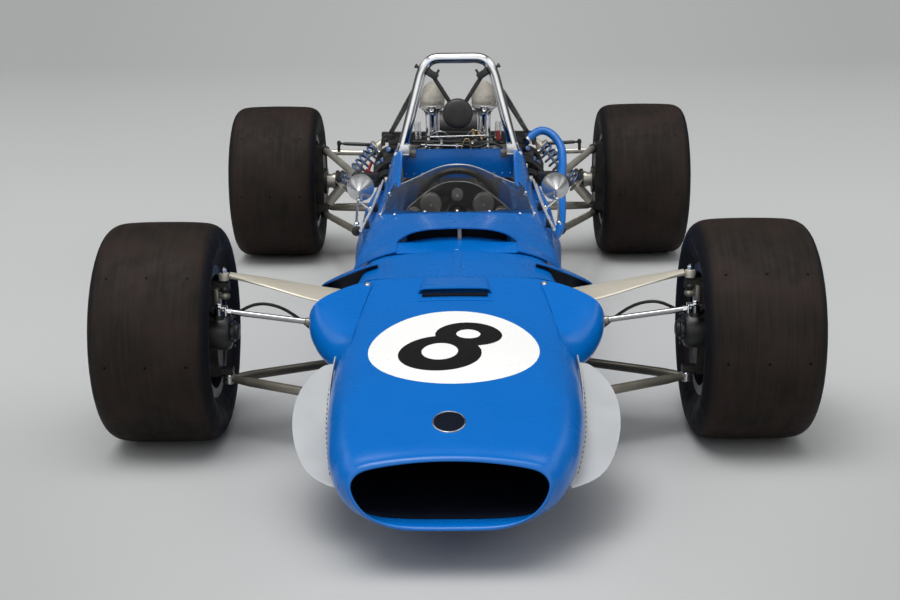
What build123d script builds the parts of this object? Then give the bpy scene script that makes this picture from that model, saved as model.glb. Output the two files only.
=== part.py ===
from build123d import *
from math import cos, pi, radians, sin
import os

# Open wheel racing car, late 1960s pattern. Millimetres, +Z up, nose towards -Y.
# The origin lies on the floor at the middle of the car's length and width.

# Lengths along the car
FRONT_OVERHANG = 935.0
WHEELBASE = 2400.0
REAR_OVERHANG = 620.0
NOSE_Y = -(FRONT_OVERHANG + WHEELBASE + REAR_OVERHANG) / 2
FRONT_AXLE_Y = NOSE_Y + FRONT_OVERHANG
REAR_AXLE_Y = FRONT_AXLE_Y + WHEELBASE
TAIL_Y = REAR_AXLE_Y + REAR_OVERHANG
TUB_NOSE = 280.0                                # front bulkhead, ahead of the front axle
TUB_FRONT_Y = FRONT_AXLE_Y - TUB_NOSE
SEAM_Y = FRONT_AXLE_Y + 10.0                    # nose cone meets the riveted cover
COWL_Y = FRONT_AXLE_Y + 300.0                   # lip over the crescent intake in the cockpit surround
LEDGE = 85.0                                    # the surround's skirts reach this far ahead of that lip
SCREEN_Y = FRONT_AXLE_Y + 500.0                 # foot of the windscreen on the centre line
BULKHEAD_TO_AXLE = 940.0
TUB_REAR_Y = REAR_AXLE_Y - BULKHEAD_TO_AXLE     # rear bulkhead, which carries the engine
ENGINE_LENGTH = 560.0
ENGINE_REAR_Y = TUB_REAR_Y + ENGINE_LENGTH
HOOP_Y = TUB_REAR_Y - 60.0

# Wheels: one row for each axle
# columns: tyre radius, tyre width, shoulder radius, bead radius, rim width, disc offset from the wheel's middle
TRACK = 1600.0
WHEEL_SIZES = {
    "front": dict(radius=305.0, width=318.0, shoulder=49.0, bead=170.0, rim=264.0, disc=-60.0),
    "rear": dict(radius=332.0, width=373.0, shoulder=60.0, bead=192.0, rim=330.0, disc=-90.0),
}
AXLE_Y = {"front": FRONT_AXLE_Y, "rear": REAR_AXLE_Y}
CROWN = 3.0                                     # rise of the tread at the middle of the tyre
WHEEL_X = TRACK / 2
RIM_WALL = 12.0
HUB_RADIUS = 46.0
DISC_RADIUS = 135.0
DISC_THICKNESS = 12.0
STUB_RADIUS = 22.0
RUNNING_GAP = 5.0
FIT_GAP = 0.3

# Steering
KINGPIN_X = WHEEL_X - 160.0
UPPER_JOINT_Z = 455.0
LOWER_JOINT_Z = 168.0
STEER_ARM = 100.0
TRACK_ROD_Z = 390.0
RACK_Y = FRONT_AXLE_Y - STEER_ARM
RACK_Z = 355.0
RACK_HALF = 385.0
HOUSING_HALF = 285.0
HOUSING_RADIUS = 24.0
RACK_RADIUS = 9.5

SHELL_WALL = 6.0
HOOP_TUBE = 17.5


def at(x, y, z):
    return Vector(x, y, z)


def front(dy):
    return FRONT_AXLE_Y + dy


def rear(dy):
    return REAR_AXLE_Y + dy


def bulk(dy):
    return TUB_REAR_Y + dy


def one(shapes):
    """Fuse shapes into one part."""
    return Part() + list(shapes)


def both(shape):
    """A shape and its mirror image over the car's centre plane."""
    return [shape, mirror(shape, about=Plane.YZ)]


def rod(start, end, radius):
    a = Vector(*start)
    b = Vector(*end)
    return Solid.make_cylinder(radius, (b - a).length, Plane(origin=a, z_dir=b - a))


def cone(start, end, radius_a, radius_b):
    a = Vector(*start)
    b = Vector(*end)
    return Solid.make_cone(radius_a, radius_b, (b - a).length, Plane(origin=a, z_dir=b - a))


def block(x, y, z):
    """A box between two limits on each axis."""
    size = (x[1] - x[0], y[1] - y[0], z[1] - z[0])
    return Pos((x[0] + x[1]) / 2, (y[0] + y[1]) / 2, (z[0] + z[1]) / 2) * Box(*size)


def ball(centre, radius):
    return Pos(*centre) * Sphere(radius)


def pipe(points, bend, radius, inner=0.0):
    """A tube of straight runs joined by arcs of the radii in bend."""
    path = FilletPolyline(*points, radius=bend)
    start = Plane(origin=path @ 0, z_dir=path % 0)
    section = Circle(radius) - Circle(inner) if inner else Circle(radius)
    return sweep(start * section, path=path)


def ring(y, corners):
    """A closed section across the car at y; each corner is (x, z, fillet), its fillet held to its two sides."""
    points = [Vector(x, y, z) for x, z, r in corners]
    radii = []
    for n, (x, z, wanted) in enumerate(corners):
        before = points[n] - points[n - 1]
        after = points[(n + 1) % len(points)] - points[n]
        half_turn = radians(before.get_angle(after)) / 2
        room = 0.46 * min(before.length, after.length)
        radii.append(min(wanted, room * cos(half_turn) / sin(half_turn)))
    return make_face(FilletPolyline(*points, radius=radii, close=True))


def mirrored(half):
    """Corners of a section from its right half, lowest first; a last corner at x = 0 stays single."""
    left = [(-x, z, r) for x, z, r in reversed(half) if x > 0]
    return half + left


def skin(sections):
    """A body of ruled panels through its sections."""
    return loft(sections, ruled=True)


def plate(points, axis, start, end):
    """A flat outline pushed along an axis: points are the two other coordinates."""
    if axis == "x":
        outline = [(start, a, b) for a, b in points]
        way = (1, 0, 0)
    elif axis == "y":
        outline = [(a, start, b) for a, b in points]
        way = (0, 1, 0)
    else:
        outline = [(a, b, start) for a, b in points]
        way = (0, 0, 1)
    face = make_face(Polyline(*outline, close=True))
    return extrude(face, amount=end - start, dir=way)


def lathe_x(points, centre):
    """Turn an outline of (x, radius) points about an axis along X through the centre."""
    outline = [(centre[0] + x, centre[1], centre[2] + r) for x, r in points]
    face = make_face(Polyline(*outline, close=True))
    return revolve(face, axis=Axis(centre, (1, 0, 0)))


# Body shell

# columns: y, half width at the floor, at the waist, at the shoulder, then floor, waist, shoulder and crown heights
NOSE_SECTIONS = [
    (NOSE_Y, 165, 218, 180, 112, 196, 238, 250),
    (front(-860), 178, 252, 205, 100, 210, 266, 279),
    (front(-620), 205, 300, 232, 92, 250, 328, 346),
    (front(-300), 215, 306, 245, 92, 290, 376, 398),
    (SEAM_Y, 215, 300, 248, 100, 330, 424, 447),
]
NOSE_FILLETS = (60, 80, 70, 900)
LIP_DEPTH = 17.0
MOUTH_RAKE = 35.0

# columns: y, then (x, z, fillet) of the side blister's outline, right half of the car
EAR_SECTIONS = [
    (front(-560), [(250, 250, 8), (296, 262, 8), (298, 290, 8), (290, 305, 8), (250, 318, 8)]),
    (front(-330), [(250, 240, 14), (322, 262, 14), (342, 310, 20), (318, 366, 20), (240, 384, 8)]),
    (SEAM_Y, [(250, 232, 20), (345, 262, 20), (398, 340, 30), (392, 408, 26), (240, 440, 8)]),
]


def nose_loft(inset, lip=0.0):
    faces = []
    for index, (y, hf, hw, hs, zf, zw, zs, zc) in enumerate(NOSE_SECTIONS):
        cut = max(inset, lip) if index == 0 else inset
        half = [
            (hf - cut, zf + cut, NOSE_FILLETS[0] - cut),
            (hw - cut, zw, NOSE_FILLETS[1]),
            (hs - cut, zs - cut, NOSE_FILLETS[2] - cut),
            (0, zc - cut, NOSE_FILLETS[3]),
        ]
        faces.append(ring(y, mirrored(half)))
    return skin(faces)


def ear_loft(inset):
    faces = []
    for y, corners in EAR_SECTIONS:
        inner = [(x - inset, z + (inset if z < 300 else -inset), r) for x, z, r in corners]
        faces.append(ring(y, inner))
    return skin(faces)


def nose_outer():
    ear = ear_loft(0)
    return one([nose_loft(0), ear, mirror(ear, about=Plane.YZ)])


def nose_cone():
    ear = ear_loft(SHELL_WALL)
    inner = one([nose_loft(SHELL_WALL, LIP_DEPTH), ear, mirror(ear, about=Plane.YZ)])
    shell = nose_outer() - inner
    # the mouth leans back towards its upper lip
    mouth = plate(
        [(NOSE_Y - 1, 90), (NOSE_Y - 1, 300), (NOSE_Y + MOUTH_RAKE, 300), (NOSE_Y, 112)], "x", -400, 400
    )
    # the lower edge climbs from the front bulkhead to the seam
    below = plate(
        [(TUB_FRONT_Y, 0), (TUB_FRONT_Y, 100), (SEAM_Y, 390), (SEAM_Y + 50, 390), (SEAM_Y + 50, 0)],
        "x", -450, 450,
    )
    shell = shell - mouth - below
    # the blisters' outer corners are cut back round the upper arms
    corner = plate([(285, SEAM_Y), (312, front(-136)), (480, front(-160)), (480, SEAM_Y + 30), (285, SEAM_Y + 30)],
                   "z", 200, 480)
    shell = shell - corner - mirror(corner, about=Plane.YZ)
    slot = block((-90, 90), (front(-76), front(-58)), (400, 470))
    return shell - slot


# columns: y, half width at the floor, at the waist, at the shoulder, then floor, waist and shoulder heights
TUB_SECTIONS = [
    (TUB_FRONT_Y, 190, 214, 198, 88, 240, 368),
    (SEAM_Y, 205, 240, 228, 82, 260, 420),
    (front(475), 255, 326, 292, 78, 275, 452),
    (bulk(-360), 280, 370, 318, 78, 285, 468),
    (TUB_REAR_Y, 270, 350, 300, 78, 285, 478),
]
FLOOR_HALF = 225.0
FLOOR_Z = 76.0
WELL_HALF = 190.0
WELL_FLOOR = 104.0
WELL_FRONT_Y = TUB_FRONT_Y + 60
WELL_REAR_Y = TUB_REAR_Y - 40


def tub():
    faces = []
    for y, hf, hw, hs, zf, zw, zs in TUB_SECTIONS:
        faces.append(ring(y, mirrored([(hf, zf, 40), (hw, zw, 90), (hs, zs, 30)])))
    floor_sheet = block((-FLOOR_HALF, FLOOR_HALF), (front(475), bulk(-20)), (FLOOR_Z, FLOOR_Z + 4))
    body = one([skin(faces), floor_sheet])
    well = block((-WELL_HALF, WELL_HALF), (WELL_FRONT_Y, WELL_REAR_Y), (WELL_FLOOR, 700))
    body = body - well
    rack_bore = rod((-400, RACK_Y, RACK_Z), (400, RACK_Y, RACK_Z), HOUSING_RADIUS + FIT_GAP)
    return body - rack_bore


# columns: y, half width at the foot, at the shoulder, foot, shoulder and crown heights
COVER_SECTIONS = [
    (SEAM_Y, 284, 240, 406, 432, 447),
    (front(160), 268, 222, 420, 452, 471),
    (COWL_Y + 40, 250, 190, 440, 476, 498),
]


def cover_loft(inset, drop):
    faces = []
    for y, hf, hs, zf, zs, zc in COVER_SECTIONS:
        half = [(hf - inset, zf - drop, 0), (hs - inset, zs - inset, 30), (0, zc - inset, 900)]
        faces.append(ring(y, mirrored(half)))
    return skin(faces)


def front_cover(tub_solid):
    shell = cover_loft(0, 0) - cover_loft(SHELL_WALL, 30)
    return shell - tub_solid


# columns: y, half width at the foot, at the shoulder, at the rim, then foot, shoulder, rim and crown heights
SURROUND_SECTIONS = [
    (COWL_Y - LEDGE, 302, 266, 178, 418, 446, 475, 482),
    (COWL_Y, 296, 254, 150, 436, 462, 518, 536),
    (SCREEN_Y + 40, 290, 262, 200, 452, 484, 516, 542),
    (bulk(-500), 268, 248, 206, 464, 500, 558, 590),
    (TUB_REAR_Y - 20, 268, 252, 222, 474, 520, 612, 622),
]
INTAKE_HALF = 172.0                             # half width of the crescent opening
SCREEN_SIDE_Y = SCREEN_Y + 100.0
SCREEN_HALF = 222.0
SCREEN_REAR_HALF = 194.0
SCREEN_REAR_Y = SCREEN_Y + 450.0


def surround_loft(inset, drop):
    faces = []
    for y, hf, hs, hr, zf, zs, zr, zc in SURROUND_SECTIONS:
        half = [
            (hf - inset, zf - drop, 0),
            (hs - inset, zs, 30),
            (hr - inset, zr - inset, 34),
            (0, zc - inset, 500),
        ]
        faces.append(ring(y, mirrored(half)))
    return skin(faces)


def cockpit_mouth():
    """The driver's opening, from the screen's foot to the rear bulkhead."""
    edge = [
        Line((-SCREEN_REAR_HALF, bulk(-45), 400), (-SCREEN_REAR_HALF, SCREEN_SIDE_Y, 400)),
        ThreePointArc(
            (-SCREEN_REAR_HALF, SCREEN_SIDE_Y, 400), (0, SCREEN_Y + 16, 400), (SCREEN_REAR_HALF, SCREEN_SIDE_Y, 400)
        ),
        Line((SCREEN_REAR_HALF, SCREEN_SIDE_Y, 400), (SCREEN_REAR_HALF, bulk(-45), 400)),
        Line((SCREEN_REAR_HALF, bulk(-45), 400), (-SCREEN_REAR_HALF, bulk(-45), 400)),
    ]
    return extrude(make_face(edge), amount=400, dir=(0, 0, 1))


def cockpit_surround(tub_solid, cover_solid):
    shell = surround_loft(0, 0) - surround_loft(14, 40) - cockpit_mouth()
    ledge = block((-INTAKE_HALF, INTAKE_HALF), (COWL_Y - LEDGE - 10, COWL_Y), (400, 600))
    shell = shell - ledge - tub_solid - cover_solid
    return max(shell.solids(), key=lambda solid: solid.volume)


def windscreen(surround_solid):
    wall = 4.0

    def outline(z, front_y, side_y, rear_y, half, rear_half, inset):
        half = half - inset
        rear_half = rear_half - inset
        return make_face([
            Line((-rear_half, rear_y, z), (-half, side_y, z)),
            ThreePointArc((-half, side_y, z), (0, front_y + inset, z), (half, side_y, z)),
            Line((half, side_y, z), (rear_half, rear_y, z)),
            Line((rear_half, rear_y, z), (-rear_half, rear_y, z)),
        ])

    def bubble(inset, grow):
        low = outline(490 - grow, SCREEN_Y - 40, SCREEN_SIDE_Y, SCREEN_REAR_Y + grow, 222, 216, inset)
        high = outline(672 + grow, SCREEN_Y + 280, SCREEN_SIDE_Y + 290, SCREEN_REAR_Y + grow, 128, 156, inset)
        return loft([low, high])

    shell = bubble(0, 0) - bubble(wall, 1)
    above = plate(
        [(SCREEN_Y, 745), (SCREEN_Y + 255, 652), (SCREEN_Y + 350, 608), (SCREEN_REAR_Y + 4, 564), (SCREEN_REAR_Y + 50, 564),
         (SCREEN_REAR_Y + 50, 800), (SCREEN_Y, 800)], "x", -300, 300,
    )
    shell = shell - above
    inside = surround_loft(0, 0)
    shell = shell - inside
    return max(shell.solids(), key=lambda solid: solid.volume)


def canards(nose_solid):
    """Two sloping fins of sheet aluminium, each with a half-round outer edge."""
    thickness = 4.0
    tip = at(268, front(-800), 160)
    outer = at(392, front(-560), 228)
    top = at(335, front(-350), 300)
    normal = (outer - tip).cross(top - tip).normalized()

    def inboard(point, shift):
        return at(point.X - shift, point.Y, point.Z + shift * normal.X / normal.Z)

    edge = [
        ThreePointArc(tip, outer, top),
        Line(top, inboard(top, 110)),
        Line(inboard(top, 110), inboard(tip, 60)),
        Line(inboard(tip, 60), tip),
    ]
    fin = extrude(make_face(edge), amount=thickness, dir=normal)
    fin = fin - nose_solid
    fin = max(fin.solids(), key=lambda solid: solid.center().X)
    return both(fin)


def duct_lips(tub_solid, cover_solid):
    """Thin fairings behind the upper arms, open to the front."""
    wall = 5.0
    # columns: y, inner x, outer x, top inner z, top outer z, lip z
    rows = [
        (front(104), 226, 388, 468, 416, 398),
        (front(330), 240, 335, 428, 398, 380),
    ]
    outer = []
    inner = []
    for y, xi, xo, zi, zo, zl in rows:
        outer.append(ring(y, [(xi, zi - 90, 2), (xi, zi, 2), (xo, zo, 10), (xo, zl, 2), (xo - 26, zl - 30, 2)]))
        inner.append(
            ring(y, [(xi, zi - 95, 2), (xi, zi - wall, 2), (xo - wall, zo - wall, 6), (xo - wall, zl - 2, 2),
                     (xo - 34, zl - 34, 2)])
        )
    shell = skin(outer) - skin(inner) - cover_loft(0, 0) - tub_solid - surround_loft(0, 0)
    lip = max(shell.solids(), key=lambda solid: solid.volume)
    return both(lip)


def radiator(nose_solid):
    """Core between two side tanks, behind the mouth."""
    y = front(-470)
    core = block((-190, 190), (y - 22, y + 22), (135, 325))
    tanks = [block((s * 206 - 18, s * 206 + 18), (y - 28, y + 28), (165, 315)) for s in (-1, 1)]
    foot = block((-60, 60), (y - 14, y + 14), (92, 136))
    cooler = one([core, foot] + tanks) - nose_solid
    return max(cooler.solids(), key=lambda solid: solid.volume)


# Driver's place


def seat():
    """Reclined bucket with bolsters."""
    y0 = bulk(-620)
    y1 = WELL_REAR_Y - 2
    low = WELL_FLOOR + FIT_GAP
    base = [(y0, 150), (y0 + 40, 124), (y0 + 330, low), (y1 - 70, 200), (y1 - 10, 486), (y1 - 66, 486),
            (y1 - 140, 260), (y0 + 300, 168), (y0 + 40, 178)]
    pan = plate(base, "x", -165, 165)
    side = [(y0 + 60, 130), (y0 + 330, low), (y1 - 70, 200), (y1 - 20, 452), (y1 - 90, 452), (y1 - 190, 330),
            (y0 + 260, 250), (y0 + 60, 220)]
    bolsters = [plate(side, "x", 165, 183), plate(side, "x", -183, -165)]
    return one([pan] + bolsters)


COLUMN_FOOT = (0, SCREEN_Y + 150, 462)
WHEEL_HUB = (0, SCREEN_Y + 330, 492)
COLUMN_RADIUS = 11.0
STEERING_WHEEL_RADIUS = 132.0


def dash():
    """Instrument panel with the backs of four dials."""
    y = SCREEN_Y + 190
    half = [(174, 440), (172, 500), (130, 546), (88, 580), (45, 600), (0, 606)]
    panel = plate(half + [(-x, z) for x, z in reversed(half[:-1])], "y", y, y + 10)
    dials = []
    # columns: x, z, radius
    for x, z, radius in ((-84, 536, 35), (84, 536, 35), (-140, 498, 26), (140, 498, 26)):
        dials.append(rod((x, y - 38, z), (x, y, z), radius))
    legs = block((-WELL_HALF, WELL_HALF), (y, y + 10), (436, 452))
    hole = rod(COLUMN_FOOT, WHEEL_HUB, COLUMN_RADIUS + FIT_GAP)
    return one([panel, legs] + dials) - hole


def steering_wheel():
    """Rim, three spokes, hub and column; made flat, then tilted onto its column."""
    a = Vector(*COLUMN_FOOT)
    b = Vector(*WHEEL_HUB)
    grip = 11.0
    spoke = 7.0
    column = (b - a).length
    parts = [Pos(0, 0, -2) * Cylinder(30, 24), rod((0, 0, -column), (0, 0, 0), COLUMN_RADIUS)]
    for angle in (90, 210, 330):
        way = Vector(cos(radians(angle)), sin(radians(angle)), 0)
        parts.append(rod(way * 20, way * (STEERING_WHEEL_RADIUS - grip / 2), spoke))
    corners = [
        (STEERING_WHEEL_RADIUS + grip * cos(pi / 4 * n + pi / 8), 0, grip * sin(pi / 4 * n + pi / 8)) for n in range(8)
    ]
    parts.append(revolve(make_face(Polyline(*corners, close=True)), axis=Axis.Z))
    flat = one(parts)
    return Plane(origin=b, x_dir=(1, 0, 0), z_dir=b - a) * flat


# Roll hoop and what hangs on it
HOOP_TOP_Z = 962.0 - HOOP_TUBE
HOOP_FOOT_X = 223.0
HOOP_FOOT_Z = 607.0
HOOP_CORNER_X = 120.0


def roll_hoop(surround_solid):
    points = [
        (-HOOP_FOOT_X, HOOP_Y - 20, HOOP_FOOT_Z - 60), (-HOOP_CORNER_X, HOOP_Y, HOOP_TOP_Z),
        (HOOP_CORNER_X, HOOP_Y, HOOP_TOP_Z), (HOOP_FOOT_X, HOOP_Y - 20, HOOP_FOOT_Z - 60),
    ]
    hoop = pipe(points, 92, HOOP_TUBE)
    pads = []
    for s in (-1, 1):
        x = s * (HOOP_FOOT_X - 4)
        pads.append(block((x - 30, x + 30), (HOOP_Y - 45, HOOP_Y + 30), (HOOP_FOOT_Z - 50, HOOP_FOOT_Z - 30)))
        pads.append(rod((s * 130, HOOP_Y, 900), (s * 152, HOOP_Y + 4, 917), 7))
    return one([hoop] + pads) - surround_solid


def hoop_braces(beam_solid, hoop_solid):
    bars = []
    for s in (-1, 1):
        top = (s * 150, HOOP_Y + 10, 844)
        foot = (s * 300, REAR_AXLE_Y - DAMPER_AHEAD, 552)
        bars.append(rod(top, foot, 10) - beam_solid - hoop_solid)
    return bars


def headrest(hoop_solid):
    y = HOOP_Y - 52
    pad = rod((0, y, 746), (0, y + 30, 746), 56)
    struts = [rod((s * 14, y + 24, 764), (s * 112, HOOP_Y - 6, 916), 8) for s in (-1, 1)]
    frame = one([pad] + struts) - hoop_solid
    return max(frame.solids(), key=lambda solid: solid.volume)


def mirrors(tub_solid, surround_solid, pipe_solids):
    y = front(950)
    z = 553
    shell = lathe_cone(331, y, z)
    stays = [rod((336, y - 18, z - 36), (296, y - 50, 480), 5), rod((336, y - 18, z - 36), (334, y - 170, 440), 5)]
    body = one([shell] + stays) - tub_solid - surround_solid
    for solid in pipe_solids:
        body = body - solid
    body = max(body.solids(), key=lambda solid: solid.volume)
    return both(body)


def lathe_cone(x, y, z):
    """Mirror body: a round bowl, open behind, with its glass inside the rim."""
    return one([cone((x, y - 84, z), (x, y - 34, z), 8, 39), cone((x, y - 34, z), (x, y, z), 39, 47)])


# Side pipes run from the dash to the hoop and bend in a little before halfway
PIPE_START_Y = SCREEN_Y + 60
PIPE_END_Y = HOOP_Y - 60
PIPE_BEND_Y = PIPE_START_Y + 0.46 * (PIPE_END_Y - PIPE_START_Y)


def side_pipes(tub_solid, surround_solid):
    """Twin pipes along each shoulder of the tub, held by clips."""
    sides = []
    for s in (-1, 1):
        parts = []
        for inward, up in ((0, 0), (10, 15)):
            points = [(s * (304 - inward), PIPE_START_Y, 474 + up), (s * (284 - inward), PIPE_BEND_Y, 484 + up),
                      (s * (284 - inward), PIPE_END_Y, 492 + up)]
            parts.append(pipe(points, 300, 8))
        # columns: y, middle of the clip across the car
        for y, x in ((PIPE_START_Y + 40, 297), (PIPE_BEND_Y - 20, 281), (PIPE_END_Y - 40, 280)):
            parts.append(block((s * x - 14, s * x + 14), (y - 9, y + 9), (440, 496)))
        side = one(parts) - tub_solid - surround_solid
        sides.append(max(side.solids(), key=lambda solid: solid.volume))
    return sides


def coolant_pipe(tub_solid):
    """Wide blue pipe round the engine bay's right side, down to the tub's flank."""
    points = [(258, bulk(100), 618), (305, bulk(125), 652), (354, bulk(125), 622), (401, bulk(95), 572),
              (398, bulk(-20), 505), (345, bulk(-380), 396)]
    bent = pipe(points, [38, 65, 60, 200], 15) - tub_solid
    return max(bent.solids(), key=lambda solid: solid.volume)


# Engine and gearbox
CRANK_Z = 220.0
BANK = 45.0
DECK = 200.0
HEAD_HEIGHT = 100.0
HEAD_HALF = 75.0
TRUMPET_X = 100.0
TRUMPET_TOP = 748.0
RAIL_Z = 585.0


def bank_point(side, out, across):
    """A point of a cylinder bank: out from the crank, across the bank outwards."""
    a = radians(BANK)
    return (side * (out * sin(a) + across * cos(a)), CRANK_Z + out * cos(a) - across * sin(a))


def engine_block():
    profile = [(-100, 92), (100, 92), (132, 150), (140, 240)]
    profile += [bank_point(1, DECK, HEAD_HALF - 8), bank_point(1, DECK, -HEAD_HALF + 8), (0, 330)]
    profile += [bank_point(-1, DECK, -HEAD_HALF + 8), bank_point(-1, DECK, HEAD_HALF - 8), (-140, 240), (-132, 150)]
    return plate(profile, "y", TUB_REAR_Y, ENGINE_REAR_Y)


def cylinder_heads():
    heads = []
    for s in (-1, 1):
        outline = [bank_point(s, DECK, -HEAD_HALF), bank_point(s, DECK, HEAD_HALF),
                   bank_point(s, DECK + HEAD_HEIGHT, HEAD_HALF), bank_point(s, DECK + HEAD_HEIGHT, -HEAD_HALF)]
        head = plate(outline, "y", TUB_REAR_Y + 30, ENGINE_REAR_Y - 10)
        covers = []
        for across in (-38, 38):
            x, z = bank_point(s, DECK + HEAD_HEIGHT, across)
            covers.append(rod((x, TUB_REAR_Y + 34, z), (x, ENGINE_REAR_Y - 14, z), 30))
        heads.append(one([head] + covers))
    return heads


TRUMPETS = 4
TRUMPET_PITCH = 104.0
TRUMPET_FIRST_Y = TUB_REAR_Y + 110.0
TRUMPET_RADIUS = 24.0
BELL_RADIUS = 47.0
SCREEN_HEIGHT = 72.0


def intake_trumpets(block_solid, head_solids):
    rows = []
    for s in (-1, 1):
        parts = [block((s * TRUMPET_X - 38, s * TRUMPET_X + 38),
                       (TRUMPET_FIRST_Y - 50, TRUMPET_FIRST_Y + (TRUMPETS - 1) * TRUMPET_PITCH + 50), (RAIL_Z - 20, RAIL_Z))]
        for n in range(TRUMPETS):
            y = TRUMPET_FIRST_Y + n * TRUMPET_PITCH
            x = s * TRUMPET_X
            parts.append(rod((x, y, 400), (x, y, RAIL_Z), 24))
            parts.append(rod((x, y, RAIL_Z), (x, y, TRUMPET_TOP - 30), TRUMPET_RADIUS))
            parts.append(cone((x, y, TRUMPET_TOP - 30), (x, y, TRUMPET_TOP), TRUMPET_RADIUS, BELL_RADIUS))
        row = one(parts) - block_solid
        for head in head_solids:
            row = row - head
        rows.append(max(row.solids(), key=lambda solid: solid.volume))
    return rows


def trumpet_screens():
    """Domed gauze caps, one on each bell."""
    domes = []
    for s in (-1, 1):
        for n in range(TRUMPETS):
            x = s * TRUMPET_X
            y = TRUMPET_FIRST_Y + n * TRUMPET_PITCH
            low = cone((x, y, TRUMPET_TOP), (x, y, TRUMPET_TOP + SCREEN_HEIGHT * 0.6), BELL_RADIUS, BELL_RADIUS * 0.8)
            high = cone((x, y, TRUMPET_TOP + SCREEN_HEIGHT * 0.6), (x, y, TRUMPET_TOP + SCREEN_HEIGHT),
                        BELL_RADIUS * 0.8, BELL_RADIUS * 0.3)
            domes.append(one([low, high]))
    return domes


def exhausts(head_solids):
    """Four primaries a side into one long tail pipe."""
    sides = []
    for s in (-1, 1):
        x, z = bank_point(s, DECK + 46, HEAD_HALF)
        parts = []
        for n in range(TRUMPETS):
            y = TRUMPET_FIRST_Y + n * TRUMPET_PITCH
            join = (s * (262 - 4 * n), ENGINE_REAR_Y + 70, 392 + 8 * (n % 2))
            points = [(x, y, z), (x + s * 52, y + 20, z - 46 - 6 * n), join]
            parts.append(pipe(points, 34, 19))
        tail = [(s * 256, ENGINE_REAR_Y + 40, 396), (s * 226, REAR_AXLE_Y - 90, 404), (s * 206, REAR_AXLE_Y + 120, 408),
                (s * 196, TAIL_Y, 424)]
        parts.append(pipe(tail, 400, TAIL_PIPE_RADIUS))
        parts.append(rod(tail[0], (s * 250, ENGINE_REAR_Y + 110, 397), 42))
        end = Vector(*tail[-1])
        way = (end - Vector(*tail[-2])).normalized()
        side = one(parts) - rod(end - way * TAIL_PIPE_BORE, end + way * 10, TAIL_PIPE_RADIUS - 3)
        for head in head_solids:
            side = side - head
        sides.append(max(side.solids(), key=lambda solid: solid.volume))
    return sides


TAIL_PIPE_RADIUS = 36.0
TAIL_PIPE_BORE = 60.0
CASE_HALF = 112.0
OUTPUT_FACE = CASE_HALF + 14.0                  # the drive flanges turn against it
CASE_BOTTOM = 190.0
CASE_TOP = 470.0
CASE_END_Y = REAR_AXLE_Y + 330.0
JACK_TUBE_Y = REAR_AXLE_Y + 360.0
JACK_TUBE_Z = 300.0
JACK_BORE = 14.0
DAMPER_AHEAD = 98.0                             # dampers and crossbeam, ahead of the rear axle


def gearbox():
    bell = skin([
        ring(ENGINE_REAR_Y, mirrored([(130, 120, 30), (170, 260, 30), (110, 430, 30)])),
        ring(REAR_AXLE_Y - 170, mirrored([(90, 190, 20), (CASE_HALF, 300, 20), (90, 440, 20)])),
    ])
    case = skin([
        ring(REAR_AXLE_Y - 170, mirrored([(90, CASE_BOTTOM, 20), (CASE_HALF, 300, 20), (90, 440, 20)])),
        ring(REAR_AXLE_Y + 170, mirrored([(90, CASE_BOTTOM, 20), (CASE_HALF, 300, 20), (90, CASE_TOP, 20)])),
        ring(CASE_END_Y, mirrored([(60, 230, 20), (80, 310, 20), (60, 400, 20)])),
    ])
    z = WHEEL_SIZES["rear"]["radius"]
    flanges = rod((-OUTPUT_FACE, REAR_AXLE_Y, z), (OUTPUT_FACE, REAR_AXLE_Y, z), 62)
    post = block((-45, 45), (CASE_END_Y - 10, JACK_TUBE_Y), (JACK_TUBE_Z - 16, JACK_TUBE_Z + 16))
    tube = rod((-120, JACK_TUBE_Y, JACK_TUBE_Z), (120, JACK_TUBE_Y, JACK_TUBE_Z), JACK_BORE + 6)
    bore = rod((-130, JACK_TUBE_Y, JACK_TUBE_Z), (130, JACK_TUBE_Y, JACK_TUBE_Z), JACK_BORE)
    return one([bell, case, post, tube, flanges]) - bore


def rear_crossbeam(gear_solid):
    """Fabricated beam over the gearbox that carries dampers and braces."""
    y = REAR_AXLE_Y - DAMPER_AHEAD
    outline = [(-336, 520), (-110, 500), (-110, 400), (110, 400), (110, 500), (336, 520), (336, 560), (-336, 560)]
    return plate(outline, "y", y - 22, y + 22) - gear_solid


def oil_tank(gear_solid):
    """Round catch tank lying across the top of the gearbox."""
    y = REAR_AXLE_Y + 215
    can = rod((-120, y, 545), (120, y, 545), 74)
    saddle = block((-50, 50), (y - 40, y + 40), (400, 480))
    return one([can, saddle]) - gear_solid


# Rear suspension
REAR_UPRIGHT_X = WHEEL_X - 200.0
AXLE_SHAFT_RADIUS = 31.0


def caliper(side, wheel, disc_x, upright_x):
    """A pinched brake caliper over the rear edge of a disc, with the arm that carries it."""
    y = AXLE_Y[wheel]
    z = WHEEL_SIZES[wheel]["radius"]
    body = block((disc_x - 28, disc_x + 28), (y + 62, y + 148), (z - 35, z + 35))
    half = DISC_THICKNESS / 2 + RUNNING_GAP
    slot = block((disc_x - half, disc_x + half), (y, y + DISC_RADIUS + RUNNING_GAP + 1), (z - 60, z + 60))
    arm = block((upright_x, disc_x - 20), (y + 62, y + 96), (z - 28, z + 28))
    shape = one([body, arm]) - slot
    return shape if side > 0 else mirror(shape, about=Plane.YZ)


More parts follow.
